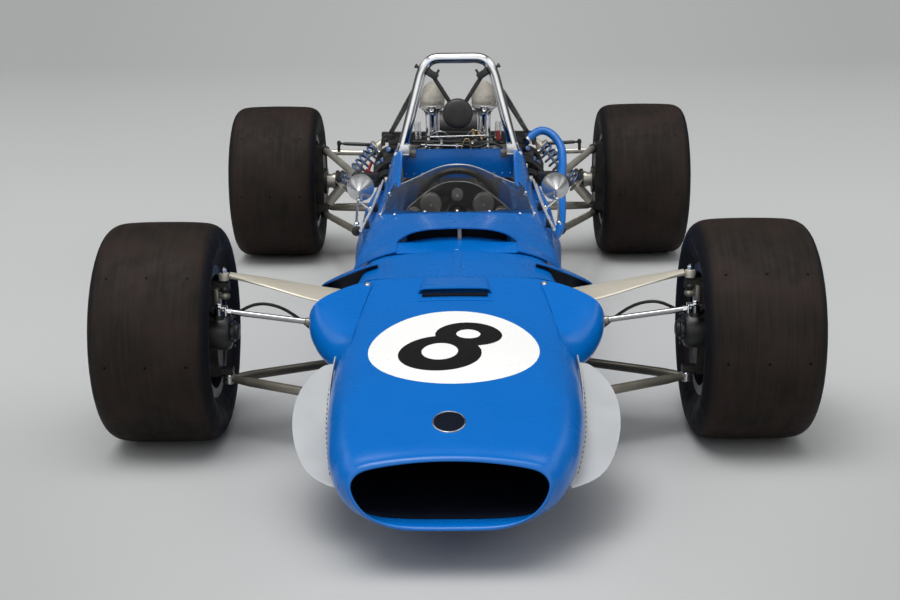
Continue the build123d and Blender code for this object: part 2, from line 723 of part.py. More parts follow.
def rear_uprights():
    uprights = []
    z0 = WHEEL_SIZES["rear"]["radius"]
    disc_x = WHEEL_X + WHEEL_SIZES["rear"]["disc"]
    post = plate([(rear(-70), 190), (rear(46), 190), (rear(60), z0), (rear(30), 496), (rear(-60), 496), (rear(-66), z0)],
                 "x", REAR_UPRIGHT_X, REAR_UPRIGHT_X + 44)
    boss = rod((REAR_UPRIGHT_X - 12, REAR_AXLE_Y, z0), (REAR_UPRIGHT_X + 52, REAR_AXLE_Y, z0), 58)
    arm = block((REAR_UPRIGHT_X + 10, REAR_UPRIGHT_X + 40), (rear(40), rear(96)), (z0 - 28, z0 + 28))
    foot = block((REAR_UPRIGHT_X - 14, REAR_UPRIGHT_X + 30), (rear(-DAMPER_AHEAD - 14), rear(-50)), (214, 240))
    bore = rod((REAR_UPRIGHT_X - 30, REAR_AXLE_Y, z0), (REAR_UPRIGHT_X + 80, REAR_AXLE_Y, z0),
               AXLE_SHAFT_RADIUS + RUNNING_GAP)
    upright = one([post, boss, arm, foot, caliper(1, "rear", disc_x, REAR_UPRIGHT_X + 20)]) - bore
    return both(upright)


def rear_links(tub_solid, surround_solid, gear_solid, upright_solid):
    """Right side: upper link, lower wishbone and two radius rods."""
    # columns: inner end, outer end, radius
    rows = [
        ((100, rear(0), 474), (REAR_UPRIGHT_X, rear(0), 480), 11),
        ((90, rear(60), 214), (REAR_UPRIGHT_X, rear(20), 212), 13),
        ((90, rear(-110), 214), (REAR_UPRIGHT_X, rear(-10), 212), 11),
        ((396, bulk(-30), 300), (REAR_UPRIGHT_X, rear(-55), 212), 11),
        ((372, bulk(-20), 470), (REAR_UPRIGHT_X, rear(-50), 478), 11),
    ]
    bars = [rod(a, b, r) for a, b, r in rows]
    brackets = [block((300, 402), (bulk(-52), bulk(-14)), (286, 314)), block((270, 378), (bulk(-42), bulk(-2)), (456, 484))]
    shape = one(bars + brackets) - tub_solid - surround_solid - gear_solid - upright_solid
    links = [solid for solid in shape.solids() if solid.volume > 20000]
    return links + [mirror(solid, about=Plane.YZ) for solid in links]


def rear_dampers(upright_solid, beam_solid):
    """Coil over damper, right side, then mirrored."""
    low = at(REAR_UPRIGHT_X - 6, rear(-DAMPER_AHEAD), 232)
    high = at(318, rear(-DAMPER_AHEAD), 538)
    way = (high - low).normalized()
    body = rod(low + way * 20, low + way * 250, 22)
    spring = rod(low + way * 120, low + way * 330, 40)
    shaft = rod(low, high, 9)
    shape = one([body, spring, shaft]) - upright_solid - beam_solid
    unit = max(shape.solids(), key=lambda solid: solid.volume)
    return both(unit)


# Front suspension


def front_arms(tub_solid):
    """Right side: sheet-metal upper arm and tubular lower wishbone."""
    joint = at(KINGPIN_X, FRONT_AXLE_Y, UPPER_JOINT_Z)
    outline = [(KINGPIN_X, front(-16)), (KINGPIN_X, front(16)), (389, front(62)), (200, front(90)), (200, front(-110)),
               (397, front(-100))]
    slab = plate(outline, "z", 340, 500)
    lean = plate([(200, 350), (200, 374), (KINGPIN_X - 20, 470), (KINGPIN_X + 20, 470), (KINGPIN_X + 20, 448),
                  (KINGPIN_X - 20, 448)], "y", front(-200), front(200))
    upper = one([slab & lean, rod(joint - at(0, 0, 8), joint + at(0, 0, 14), 15)])
    lower_joint = at(KINGPIN_X, FRONT_AXLE_Y, LOWER_JOINT_Z)
    legs = [rod(lower_joint, at(180, front(-228), 158), 12), rod(lower_joint, at(190, front(280), 158), 12)]
    lower = one(legs + [rod(lower_joint - at(0, 0, 14), lower_joint + at(0, 0, 14), 16)])
    # the upper arm is relieved where it passes over the steering rack
    upper = upper - rod((-RACK_HALF, RACK_Y, RACK_Z), (RACK_HALF, RACK_Y, RACK_Z), HOUSING_RADIUS + RUNNING_GAP)
    inner = []
    for arm in (upper, lower):
        cut = arm - tub_solid - block((-WELL_HALF - 60, WELL_HALF + 60 - 60), (front(-400), front(600)), (0, 500))
        inner.append(max(cut.solids(), key=lambda solid: solid.volume))
    return inner + [mirror(solid, about=Plane.YZ) for solid in inner]


def front_upright(side):
    """Upright with its stub axle, steering arm and caliper."""
    z0 = WHEEL_SIZES["front"]["radius"]
    disc_x = WHEEL_X + WHEEL_SIZES["front"]["disc"]
    post = plate([(front(-30), 182), (front(30), 182), (front(42), z0), (front(24), 440), (front(-24), 440), (front(-42), z0)],
                 "x", KINGPIN_X + 20, KINGPIN_X + 50)
    ears = [block((KINGPIN_X - 14, KINGPIN_X + 40), (front(-14), front(14)), (LOWER_JOINT_Z + 14 + FIT_GAP, 200)),
            block((KINGPIN_X - 14, KINGPIN_X + 40), (front(-14), front(14)), (424, UPPER_JOINT_Z - 8 - FIT_GAP))]
    boss = rod((KINGPIN_X + 10, FRONT_AXLE_Y, z0), (KINGPIN_X + 70, FRONT_AXLE_Y, z0), 40)
    stub = rod((KINGPIN_X + 60, FRONT_AXLE_Y, z0), (WHEEL_X + 40, FRONT_AXLE_Y, z0), STUB_RADIUS)
    arm = plate([(KINGPIN_X + 20, front(-20)), (KINGPIN_X + 50, front(-20)), (KINGPIN_X + 13, RACK_Y),
                 (KINGPIN_X - 13, RACK_Y)], "z", TRACK_ROD_Z - 24, TRACK_ROD_Z - 12)
    eye = rod((KINGPIN_X, RACK_Y, TRACK_ROD_Z - 24), (KINGPIN_X, RACK_Y, TRACK_ROD_Z - 12), 13)
    pad = block((KINGPIN_X + 20, KINGPIN_X + 50), (front(30), front(70)), (z0 - 28, z0 + 28))
    shape = one([post, boss, stub, arm, eye, pad, caliper(1, "front", disc_x, KINGPIN_X + 30)] + ears)
    return shape if side > 0 else mirror(shape, about=Plane.YZ)


def steering_rack():
    """Rack bar with both track rods; their outer eyes sit on the steering arms."""
    parts = [rod((-RACK_HALF, RACK_Y, RACK_Z), (RACK_HALF, RACK_Y, RACK_Z), RACK_RADIUS)]
    for s in (-1, 1):
        parts.append(cone((s * 330, RACK_Y, RACK_Z), (s * RACK_HALF, RACK_Y, RACK_Z), 19, 14))
        eye = at(s * KINGPIN_X, RACK_Y, TRACK_ROD_Z)
        parts.append(rod((s * (RACK_HALF - 6), RACK_Y, RACK_Z), (s * (KINGPIN_X - 6), RACK_Y, TRACK_ROD_Z), 8))
        parts.append(rod(eye - at(0, 0, 12 - FIT_GAP), eye + at(0, 0, 8), 13))
    return one(parts)


def rack_housing():
    y = RACK_Y
    tube = rod((-HOUSING_HALF, y, RACK_Z), (HOUSING_HALF, y, RACK_Z), HOUSING_RADIUS)
    bore = rod((-HOUSING_HALF - 5, y, RACK_Z), (HOUSING_HALF + 5, y, RACK_Z), RACK_RADIUS + FIT_GAP)
    return tube - bore


# Wheels


def tyre(side, wheel):
    row = WHEEL_SIZES[wheel]
    half = row["width"] / 2
    rim_half = row["rim"] / 2
    r = row["radius"]
    bead = row["bead"]
    shoulder = row["shoulder"]
    flat = half - shoulder
    # right half of the section, from the bead out and up to the middle of the tread
    points = [(rim_half - 6, bead), (rim_half - 6, bead + 15), (half - 14, bead + (r - bead) * 0.25),
              (half, bead + (r - bead) * 0.5), (half, r - CROWN - shoulder)]
    for angle in (30, 60):
        a = radians(angle)
        points.append((flat + shoulder * cos(a), r - CROWN - shoulder * (1 - sin(a))))
    points += [(flat, r - CROWN), (0, r)]
    other = [(-x, h) for x, h in reversed(points) if x > 0]
    return lathe_x(points + other, (side * WHEEL_X, AXLE_Y[wheel], r))


SPOKES = 4


def rim(side, wheel):
    """Cast four-spoke wheel with its brake disc and centre nut; x runs outwards."""
    row = WHEEL_SIZES[wheel]
    half = row["rim"] / 2
    bead = row["bead"]
    wall = RIM_WALL
    disc = row["disc"]
    x0 = WHEEL_X
    y = AXLE_Y[wheel]
    z = row["radius"]
    centre = (x0, y, z)
    barrel = lathe_x(
        [(-half, bead - wall), (-half, bead + 14), (-half + 6, bead + 14), (-half + 6, bead), (half - 6, bead),
         (half - 6, bead + 14), (half, bead + 14), (half, bead - wall)], centre,
    )
    web_x = half - 70
    web = lathe_x([(web_x, 20), (web_x + 22, 20), (web_x + 34, bead - wall + 1), (web_x + 20, bead - wall + 1)], centre)
    windows = []
    reach = bead - wall - 14
    for n in range(SPOKES):
        a = 2 * pi * (n + 0.5) / SPOKES
        mid = (HUB_RADIUS + 14 + reach) / 2
        cy = y + mid * cos(a)
        cz = z + mid * sin(a)
        windows.append(rod((x0 + web_x - 30, cy, cz), (x0 + web_x + 60, cy, cz), (reach - HUB_RADIUS - 14) / 2))
    for window in windows:
        web = web - window
    hub = rod((x0 + disc - 20, y, z), (x0 + web_x + 30, y, z), HUB_RADIUS)
    nut = rod((x0 + web_x + 20, y, z), (x0 + web_x + 58, y, z), 30)
    rotor = rod((x0 + disc - DISC_THICKNESS / 2, y, z), (x0 + disc + DISC_THICKNESS / 2, y, z), DISC_RADIUS)
    shape = one([barrel, web, hub, nut, rotor])
    if wheel == "front":
        shape = shape - rod((x0 + disc - 30, y, z), (x0 + 40 + RUNNING_GAP, y, z), STUB_RADIUS + FIT_GAP)
    return shape if side > 0 else mirror(shape, about=Plane.YZ)


def driveshaft(side):
    """Shaft with its two universal joints, turning with the rear wheel."""
    z = WHEEL_SIZES["rear"]["radius"]
    hub_x = WHEEL_X + WHEEL_SIZES["rear"]["disc"] - 20
    inner = OUTPUT_FACE + FIT_GAP
    outer = REAR_UPRIGHT_X - 35
    parts = [
        rod((inner, REAR_AXLE_Y, z), (inner + 12, REAR_AXLE_Y, z), 52),
        rod((inner + 12, REAR_AXLE_Y, z), (inner + 70, REAR_AXLE_Y, z), 36),
        rod((inner + 60, REAR_AXLE_Y, z), (outer - 45, REAR_AXLE_Y, z), 17),
        rod((outer - 65, REAR_AXLE_Y, z), (outer, REAR_AXLE_Y, z), 36),
        rod((outer, REAR_AXLE_Y, z), (hub_x, REAR_AXLE_Y, z), AXLE_SHAFT_RADIUS),
    ]
    shape = one(parts)
    return shape if side > 0 else mirror(shape, about=Plane.YZ)


def brake_hose(side, tub_solid, upright_solid):
    """Flexible hose from the tub's side to the caliper."""
    # columns: share of the way from the tub's side to the kingpin, y from the front axle, height
    rows = [(0, 66, 262), (0.15, 64, 252), (0.30, 62, 262), (0.425, 60, 292), (0.525, 58, 330), (0.65, 56, 362),
            (0.79, 54, 372), (0.915, 52, 352), (1.06, 50, 316)]
    points = [(side * (240 + share * (KINGPIN_X - 240)), front(dy), z) for share, dy, z in rows]
    radii = []
    vectors = [Vector(*p) for p in points]
    for before, here, after in zip(vectors, vectors[1:], vectors[2:]):
        turn = (here - before).get_angle(after - here)
        short = min((here - before).length, (after - here).length)
        radii.append(0.45 * short / tan_half(turn))
    hose = pipe(points, radii, 4.5) - tub_solid - upright_solid
    return max(hose.solids(), key=lambda solid: solid.volume)


def tan_half(turn):
    half = radians(turn) / 2
    return sin(half) / cos(half)


def save(name, shape):
    solids = shape if isinstance(shape, list) else [shape]
    loose = []
    for item in solids:
        loose.extend(item.solids())
    export_step(loose[0] if len(loose) == 1 else Compound(loose), f"parts/{name}.step")


os.makedirs("parts", exist_ok=True)
tub_part = tub()
nose_part = nose_cone()
cover_part = front_cover(tub_part)
surround_part = cockpit_surround(tub_part, cover_part)
hoop_part = roll_hoop(surround_part)
stays = side_pipes(tub_part, surround_part)
block_part = engine_block()
heads = cylinder_heads()
gear_part = gearbox()
beam_part = rear_crossbeam(gear_part)
uprights = rear_uprights()

nodes = {
    "tub": tub_part,
    "nose_cone": nose_part,
    "front_cover": cover_part,
    "cockpit_surround": surround_part,
    "windscreen": windscreen(surround_part),
    "canards": canards(nose_outer()),
    "duct_lips": duct_lips(tub_part, cover_part),
    "radiator": radiator(nose_part),
    "seat": seat(),
    "dash": dash(),
    "steering_wheel": steering_wheel(),
    "roll_hoop": hoop_part,
    "hoop_braces": hoop_braces(beam_part, hoop_part),
    "headrest": headrest(hoop_part),
    "mirrors": mirrors(tub_part, surround_part, stays),
    "side_pipes": stays,
    "coolant_pipe": coolant_pipe(tub_part),
    "engine_block": block_part,
    "cylinder_heads": heads,
    "intake_trumpets": intake_trumpets(block_part, heads),
    "trumpet_screens": trumpet_screens(),
    "exhausts": exhausts(heads),
    "gearbox": gear_part,
    "rear_crossbeam": beam_part,
    "oil_tank": oil_tank(gear_part),
    "rear_uprights": uprights,
    "rear_links": rear_links(tub_part, surround_part, gear_part, uprights[0]),
    "rear_dampers": rear_dampers(uprights[0], beam_part),
    "front_arms": front_arms(tub_part),
    "rack_housing": rack_housing(),
    "steering_rack": steering_rack(),
}
for name, side in (("left", 1), ("right", -1)):
    knuckle = front_upright(side)
    nodes[f"front_upright_{name}"] = knuckle
    nodes[f"brake_hose_{name}"] = brake_hose(side, tub_part, knuckle)
    nodes[f"driveshaft_{name}"] = driveshaft(side)
    for wheel in ("front", "rear"):
        nodes[f"tyre_{wheel}_{name}"] = tyre(side, wheel)
        nodes[f"rim_{wheel}_{name}"] = rim(side, wheel)

for name, shape in nodes.items():
    save(name, shape)
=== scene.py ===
from math import cos, pi, radians, sin
import bpy
from mathutils import Matrix, Vector


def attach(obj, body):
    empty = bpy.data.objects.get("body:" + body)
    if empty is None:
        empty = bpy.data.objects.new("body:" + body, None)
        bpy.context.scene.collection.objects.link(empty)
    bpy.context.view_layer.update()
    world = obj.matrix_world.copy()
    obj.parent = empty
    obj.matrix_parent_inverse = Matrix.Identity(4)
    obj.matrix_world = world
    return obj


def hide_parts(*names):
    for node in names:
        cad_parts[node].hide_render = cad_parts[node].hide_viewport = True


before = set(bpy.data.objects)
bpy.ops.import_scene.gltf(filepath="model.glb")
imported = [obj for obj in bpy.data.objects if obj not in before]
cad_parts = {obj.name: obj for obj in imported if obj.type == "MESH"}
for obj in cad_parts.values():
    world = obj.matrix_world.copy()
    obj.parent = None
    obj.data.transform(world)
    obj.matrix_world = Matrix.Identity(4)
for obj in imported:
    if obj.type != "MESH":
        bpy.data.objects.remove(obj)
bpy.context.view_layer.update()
print("frame loaded:", len(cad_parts), "nodes")

frontAxleY = -1.0425
rearAxleY = 1.3575
bulkheadY = 0.4175          # rear bulkhead of the tub, where the engine starts
hoopY = bulkheadY - 0.06
wheelX = 0.8                # middle of each wheel
tyres = {"front": {"y": frontAxleY, "radius": 0.305, "width": 0.318, "finish": "tyreFront"},
         "rear": {"y": rearAxleY, "radius": 0.332, "width": 0.373, "finish": "tyreRear"}}
mergeDistance = 0.00001
finishes = {}

# working helpers


def fromAxle(points):
    # points that are written with y from the front axle
    return [(x, frontAxleY + y, z) for x, y, z in points]


def turnTo(way):
    # the turn that brings an upright part to a direction
    return Vector((0, 0, 1)).rotation_difference(Vector(way)).to_matrix().to_4x4()


def away():
    # leaves edit mode and lets go of everything
    if bpy.context.object and bpy.context.object.mode != "OBJECT":
        bpy.ops.object.mode_set(mode="OBJECT")
    bpy.ops.object.select_all(action="DESELECT")


def pick(piece):
    away()
    piece.select_set(True)
    bpy.context.view_layer.objects.active = piece


def settle(piece, angle=35):
    # puts the piece's place into its mesh, so its object stays at the origin
    pick(piece)
    bpy.ops.object.transform_apply(location=True, rotation=True, scale=True)
    bpy.ops.object.shade_smooth_by_angle(angle=radians(angle))
    return piece


def modified(piece, kind, **settings):
    modifier = piece.modifiers.new(kind.title(), kind)
    for key, value in settings.items():
        setattr(modifier, key, value)
    pick(piece)
    bpy.ops.object.modifier_apply(modifier=modifier.name)
    return piece


def rounded(piece, levels=2):
    return modified(piece, "SUBSURF", levels=levels, render_levels=levels)


def turned(name, profile, centre=(0, 0, 0), way=(0, 0, 1), count=32, solid=True, angle=35):
    # a lathe job: a ring is drawn out and resized along its axis, step by step
    away()
    along, radius = profile[0]
    bpy.ops.mesh.primitive_circle_add(vertices=count, radius=radius, location=(0, 0, along),
                                      fill_type="NGON" if solid else "NOTHING")
    piece = bpy.context.object
    piece.name = name
    bpy.ops.object.mode_set(mode="EDIT")
    bpy.ops.mesh.select_all(action="SELECT")
    for nextAlong, nextRadius in profile[1:]:
        bpy.ops.mesh.extrude_region_move(TRANSFORM_OT_translate={"value": (0, 0, nextAlong - along)})
        factor = nextRadius / radius
        bpy.ops.transform.resize(value=(factor, factor, 1), center_override=(0, 0, nextAlong))
        along, radius = nextAlong, nextRadius
    bpy.ops.mesh.select_all(action="SELECT")
    bpy.ops.mesh.remove_doubles(threshold=mergeDistance)
    bpy.ops.mesh.normals_make_consistent(inside=False)
    bpy.ops.object.mode_set(mode="OBJECT")
    piece.matrix_world = Matrix.Translation(Vector(centre)) @ turnTo(way) @ piece.matrix_world
    return settle(piece, angle)


def bar(name, start, end, radius, edge=0.001, count=20):
    length = (Vector(end) - Vector(start)).length
    profile = [(0, radius - edge), (edge, radius), (length - edge, radius), (length, radius - edge)]
    return turned(name, profile, start, Vector(end) - Vector(start), count)


def block(name, low, high, edge=0.002, segments=2):
    away()
    size = [b - a for a, b in zip(low, high)]
    bpy.ops.mesh.primitive_cube_add(size=1, location=[(a + b) / 2 for a, b in zip(low, high)], scale=size)
    piece = bpy.context.object
    piece.name = name
    bpy.ops.object.transform_apply(location=True, rotation=True, scale=True)
    bpy.ops.object.mode_set(mode="EDIT")
    bpy.ops.mesh.select_all(action="SELECT")
    bpy.ops.mesh.bevel(offset=edge, segments=segments)
    bpy.ops.object.mode_set(mode="OBJECT")
    return settle(piece)


def line(name, points, radius, order=3, around=5, fine=10):
    away()
    bpy.ops.curve.primitive_nurbs_path_add()
    piece = bpy.context.object
    piece.name = name
    curve = piece.data
    curve.splines.clear()
    curve.dimensions = "3D"
    spline = curve.splines.new("NURBS")
    spline.points.add(len(points) - 1)
    for dot, spot in zip(spline.points, points):
        dot.co = (*spot, 1)
    spline.order_u = order
    spline.use_endpoint_u = True
    spline.resolution_u = fine
    curve.resolution_u = fine
    curve.bevel_depth = radius
    curve.bevel_resolution = around
    curve.use_fill_caps = True
    return piece


def tube(name, points, radius, order=3, around=4, fine=8):
    piece = line(name, points, radius, order, around, fine)
    pick(piece)
    bpy.ops.object.convert(target="MESH")
    return settle(bpy.context.object)


def skin(name, rows, levels=2, thickness=0.0, ring=False, angle=60):
    # a grid whose points are set row by row, then given a wall and smoothed
    away()
    bpy.ops.mesh.primitive_grid_add(x_subdivisions=len(rows[0]) - 1, y_subdivisions=len(rows) - 1, size=1)
    piece = bpy.context.object
    piece.name = name
    spots = [spot for row in rows for spot in row]
    for dot, spot in zip(piece.data.vertices, spots):
        dot.co = spot
    piece.location = (0, 0, 0)
    if ring:
        bpy.ops.object.mode_set(mode="EDIT")
        bpy.ops.mesh.select_all(action="SELECT")
        bpy.ops.mesh.remove_doubles(threshold=mergeDistance)
        bpy.ops.mesh.normals_make_consistent(inside=False)
        bpy.ops.object.mode_set(mode="OBJECT")
    if levels:
        rounded(piece, levels)
    if thickness:
        modified(piece, "SOLIDIFY", thickness=abs(thickness), offset=-1 if thickness > 0 else 1)
    return settle(piece, angle)


def copied(piece, name, move=(0, 0, 0), flip=False, turn=None):
    copy = piece.copy()
    copy.data = piece.data.copy()
    copy.name = name
    bpy.context.collection.objects.link(copy)
    shift = Matrix.Translation(Vector(move))
    if turn:
        shift = shift @ turn
    copy.data.transform(shift)
    if flip:
        copy.data.transform(Matrix.Scale(-1, 4, (1, 0, 0)))
        copy.data.flip_normals()
    return copy


def joined(name, pieces):
    away()
    for piece in pieces:
        piece.select_set(True)
    bpy.context.view_layer.objects.active = pieces[0]
    bpy.ops.object.join()
    bpy.context.object.name = name
    return bpy.context.object


def bothSides(name, pieces):
    # the right side's parts and their mirror images, as one piece
    return joined(name, pieces + [copied(piece, name + "Other", flip=True) for piece in pieces])


def place(piece, body, finish, slotName, *replaced):
    piece.data.materials.clear()
    piece.data.materials.append(finishes[finish])
    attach(piece, body)
    if replaced:
        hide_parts(*replaced)
    return piece


def dropOn(piece, x, y, top=1.2):
    # the point and normal of a surface straight below a place
    found, point, normal, _ = piece.ray_cast((x, y, top), (0, 0, -1))
    return (point, normal) if found else None


def pressOn(piece, y, z, side=1):
    # the point and normal of a surface seen from the side
    found, point, normal, _ = piece.ray_cast((side * 1.2, y, z), (-side, 0, 0))
    return (point, normal) if found else None


def rivetField(name, spots, radius=0.0032, height=0.0012, count=8):
    dome = turned("rivet", [(-0.0004, radius), (height * 0.4, radius * 0.92), (height * 0.85, radius * 0.6),
                            (height, radius * 0.12)], count=count, angle=60)
    made = []
    for spot in spots:
        if spot is None:
            continue
        point, normal = spot
        made.append(copied(dome, "rivet", point, turn=turnTo(normal)))
    bpy.data.objects.remove(dome)
    return joined(name, made)


def evenly(start, end, count):
    return [start + (end - start) * n / (count - 1) for n in range(count)]


def between(first, last, share):
    return first + (last - first) * share


def onTable(table, y):
    # columns of a table at y, straight between its rows
    for before, after in zip(table, table[1:]):
        if y <= after[0]:
            part = (y - before[0]) / (after[0] - before[0])
            return [a + (b - a) * part for a, b in zip(before[1:], after[1:])]
    return list(table[-1][1:])


# finishes

# columns: colour, second colour, patch scale, least and most roughness, metallic, fine grain scale, bump
finishRows = {
    "bodyBlue": ((0.0, 0.108, 0.405), (0.0, 0.114, 0.425), 6, 0.26, 0.31, 0.0, 900, 0.004),
    # black with little sheen; on the duct in the mouth and the blocks in the intake and the outlet it is
    # painted shade
    "blackAndShade": ((0.004, 0.006, 0.012), (0.006, 0.008, 0.016), 8, 0.55, 0.7, 0.0, 300, 0.05),
    "champagne": ((0.52, 0.49, 0.41), (0.46, 0.43, 0.355), 5, 0.34, 0.46, 0.25, 300, 0.02),
    "finAluminium": ((0.42, 0.435, 0.445), (0.38, 0.395, 0.405), 7, 0.42, 0.56, 0.2, 240, 0.03),
    # a darker copy of the lower front arm's nickel, for its rear leg: painted shade
    "shadedNickel": ((0.15, 0.14, 0.115), (0.12, 0.11, 0.09), 7, 0.26, 0.40, 0.7, 280, 0.03),
    "polishedAluminium": ((0.56, 0.58, 0.60), (0.50, 0.52, 0.54), 10, 0.3, 0.45, 0.6, 260, 0.03),
    # painted shade: the dark sheets under the fairings behind the upper arms
    "ductShadeNavy": ((0.002, 0.008, 0.030), (0.003, 0.010, 0.035), 10, 0.4, 0.6, 0.0, 300, 0.02),
    "greyMetal": ((0.30, 0.29, 0.27), (0.24, 0.23, 0.22), 14, 0.35, 0.5, 0.3, 300, 0.03),
    "paleMetal": ((0.78, 0.79, 0.80), (0.70, 0.71, 0.72), 14, 0.3, 0.42, 0.6, 260, 0.03),
    "mirrorBowl": ((0.60, 0.61, 0.62), (0.50, 0.51, 0.52), 10, 0.24, 0.34, 0.85, 260, 0.03),
    # the radiator core, black and made darker still: painted shade deep in the mouth
    "darkCore": ((0.010, 0.010, 0.012), (0.020, 0.020, 0.023), 40, 0.45, 0.7, 0.4, 700, 0.2),
    "blackTrim": ((0.012, 0.012, 0.013), (0.022, 0.021, 0.02), 25, 0.42, 0.6, 0.0, 420, 0.25),
    "dashBlack": ((0.02, 0.02, 0.022), (0.035, 0.035, 0.036), 18, 0.35, 0.5, 0.0, 600, 0.12),
    "blackLeather": ((0.012, 0.011, 0.011), (0.03, 0.026, 0.023), 16, 0.38, 0.6, 0.0, 260, 0.35),
    "chrome": ((0.80, 0.81, 0.83), (0.72, 0.73, 0.75), 12, 0.04, 0.12, 1.0, 300, 0.008),
    "blackMetal": ((0.009, 0.009, 0.010), (0.017, 0.017, 0.016), 22, 0.3, 0.5, 0.0, 380, 0.06),
    "blueHose": ((0.0, 0.10, 0.38), (0.003, 0.115, 0.41), 14, 0.3, 0.42, 0.0, 320, 0.1),
    "castAlloy": ((0.30, 0.30, 0.29), (0.20, 0.195, 0.185), 18, 0.4, 0.62, 0.85, 240, 0.22),
    "camCover": ((0.10, 0.10, 0.105), (0.16, 0.16, 0.16), 20, 0.38, 0.55, 0.7, 200, 0.2),
    "exhaustSteel": ((0.42, 0.39, 0.36), (0.26, 0.22, 0.19), 9, 0.25, 0.5, 1.0, 220, 0.06),
    "castMagnesium": ((0.030, 0.029, 0.027), (0.055, 0.052, 0.047), 20, 0.42, 0.62, 0.7, 230, 0.22),
    "satinNickel": ((0.50, 0.48, 0.43), (0.44, 0.42, 0.37), 9, 0.28, 0.40, 0.7, 280, 0.03),
    "blackRubber": ((0.012, 0.012, 0.012), (0.03, 0.029, 0.028), 30, 0.5, 0.72, 0.0, 340, 0.15),
    # near black with a navy tint: painted shade inside the wheels
    "rimDark": ((0.0035, 0.0045, 0.009), (0.007, 0.008, 0.014), 15, 0.30, 0.48, 0.0, 300, 0.08),
    "oldNickel": ((0.26, 0.245, 0.205), (0.22, 0.205, 0.17), 7, 0.28, 0.42, 0.6, 280, 0.03),
    "springBlue": ((0.05, 0.09, 0.20), (0.06, 0.11, 0.24), 12, 0.3, 0.42, 0.4, 280, 0.03),
    "rodSteel": ((0.34, 0.34, 0.345), (0.28, 0.28, 0.285), 20, 0.10, 0.20, 1.0, 300, 0.01),
    # a darker copy of the body's blue for the cover's rivet heads: painted shade on the rivets
    "rivetShadeBlue": ((0.0, 0.050, 0.20), (0.0, 0.055, 0.22), 20, 0.3, 0.4, 0.0, 300, 0.01),
    "redLead": ((0.28, 0.012, 0.01), (0.20, 0.01, 0.01), 20, 0.35, 0.5, 0.0, 300, 0.05),
    "brassFitting": ((0.62, 0.42, 0.16), (0.48, 0.32, 0.13), 30, 0.2, 0.38, 1.0, 300, 0.04),
    "steelBright": ((0.62, 0.62, 0.62), (0.5, 0.5, 0.5), 25, 0.18, 0.36, 1.0, 400, 0.04),
    "dialFace": ((0.045, 0.050, 0.046), (0.055, 0.060, 0.055), 20, 0.25, 0.3, 0.0, 300, 0.01),
    "paleMark": ((0.75, 0.75, 0.72), (0.7, 0.7, 0.68), 20, 0.4, 0.5, 0.0, 300, 0.01),
}


def newTree(name):
    material = bpy.data.materials.new(name)
    material.use_nodes = True
    tree = material.node_tree
    spot = tree.nodes.new("ShaderNodeTexCoord").outputs["Object"]
    return material, tree, tree.nodes["Principled BSDF"], spot


def sums(tree, kind, first, second=None, third=None):
    node = tree.nodes.new("ShaderNodeMath")
    node.operation = kind
    for socket, value in zip(node.inputs, (first, second, third)):
        if value is None:
            continue
        if isinstance(value, (int, float)):
            socket.default_value = value
        else:
            tree.links.new(value, socket)
    return node.outputs[0]


def moved(tree, spot, shift=(0, 0, 0), scale=(1, 1, 1), turn=(0, 0, 0)):
    node = tree.nodes.new("ShaderNodeMapping")
    node.inputs["Location"].default_value = shift
    node.inputs["Rotation"].default_value = turn
    node.inputs["Scale"].default_value = scale
    tree.links.new(spot, node.inputs["Vector"])
    return node.outputs["Vector"]


def patches(tree, spot, scale, detail=4.0):
    node = tree.nodes.new("ShaderNodeTexNoise")
    node.inputs["Scale"].default_value = scale
    node.inputs["Detail"].default_value = detail
    tree.links.new(spot, node.inputs["Vector"])
    return node.outputs["Fac"]


def spread(tree, value, low, high, first=0.35, last=0.65):
    node = tree.nodes.new("ShaderNodeMapRange")
    node.inputs["From Min"].default_value = first
    node.inputs["From Max"].default_value = last
    node.inputs["To Min"].default_value = low
    node.inputs["To Max"].default_value = high
    tree.links.new(value, node.inputs["Value"])
    return node.outputs["Result"]


def blended(tree, share, first, second):
    node = tree.nodes.new("ShaderNodeMix")
    node.data_type = "RGBA"
    tree.links.new(share, node.inputs["Factor"])
    for socket, value in ((node.inputs["A"], first), (node.inputs["B"], second)):
        if isinstance(value, tuple):
            socket.default_value = (*value, 1)
        else:
            tree.links.new(value, socket)
    return node.outputs["Result"]


def raised(tree, shader, height, strength, distance=0.001):
    node = tree.nodes.new("ShaderNodeBump")
    node.inputs["Strength"].default_value = strength
    node.inputs["Distance"].default_value = distance
    tree.links.new(height, node.inputs["Height"])
    tree.links.new(node.outputs["Normal"], shader.inputs["Normal"])


def commonFinish(name, row):
    colour, second, scale, smooth, rough, metallic, grain, bump = row
    material, tree, shader, spot = newTree(name)
    share = spread(tree, patches(tree, spot, scale), 0, 1)
    mixed = blended(tree, share, colour, second)
    tree.links.new(mixed, shader.inputs["Base Color"])
    tree.links.new(spread(tree, patches(tree, spot, scale * 2.3, 6), smooth, rough),
                   shader.inputs["Roughness"])
    shader.inputs["Metallic"].default_value = metallic
    raised(tree, shader, patches(tree, spot, grain, 2), bump)
    finishes[name] = material
    return tree, shader, spot, mixed


def polish(shader):
    # thin lacquer over the paint
    shader.inputs["Coat Weight"].default_value = 0.16
    shader.inputs["Coat Roughness"].default_value = 0.10
    shader.inputs["Specular IOR Level"].default_value = 0.28


trees = {name: commonFinish(name, row) for name, row in finishRows.items()}
for name in ("bodyBlue", "blueHose"):
    polish(trees[name][1])
trees["blackAndShade"][1].inputs["Specular IOR Level"].default_value = 0.05

# roundel and figure on the nose, in plan: x, y, half width, half depth
roundel = {"white": (-0.0055, frontAxleY - 0.4165, 0.2115, 0.2035),
           "outers": [(-0.0393, frontAxleY - 0.460, 0.1022, 0.0955),
                      (0.0316, frontAxleY - 0.354, 0.0840, 0.0700)],
           "holes": [(-0.0393, frontAxleY - 0.453, 0.0445, 0.0455),
                     (0.0308, frontAxleY - 0.354, 0.0300, 0.0265)]}


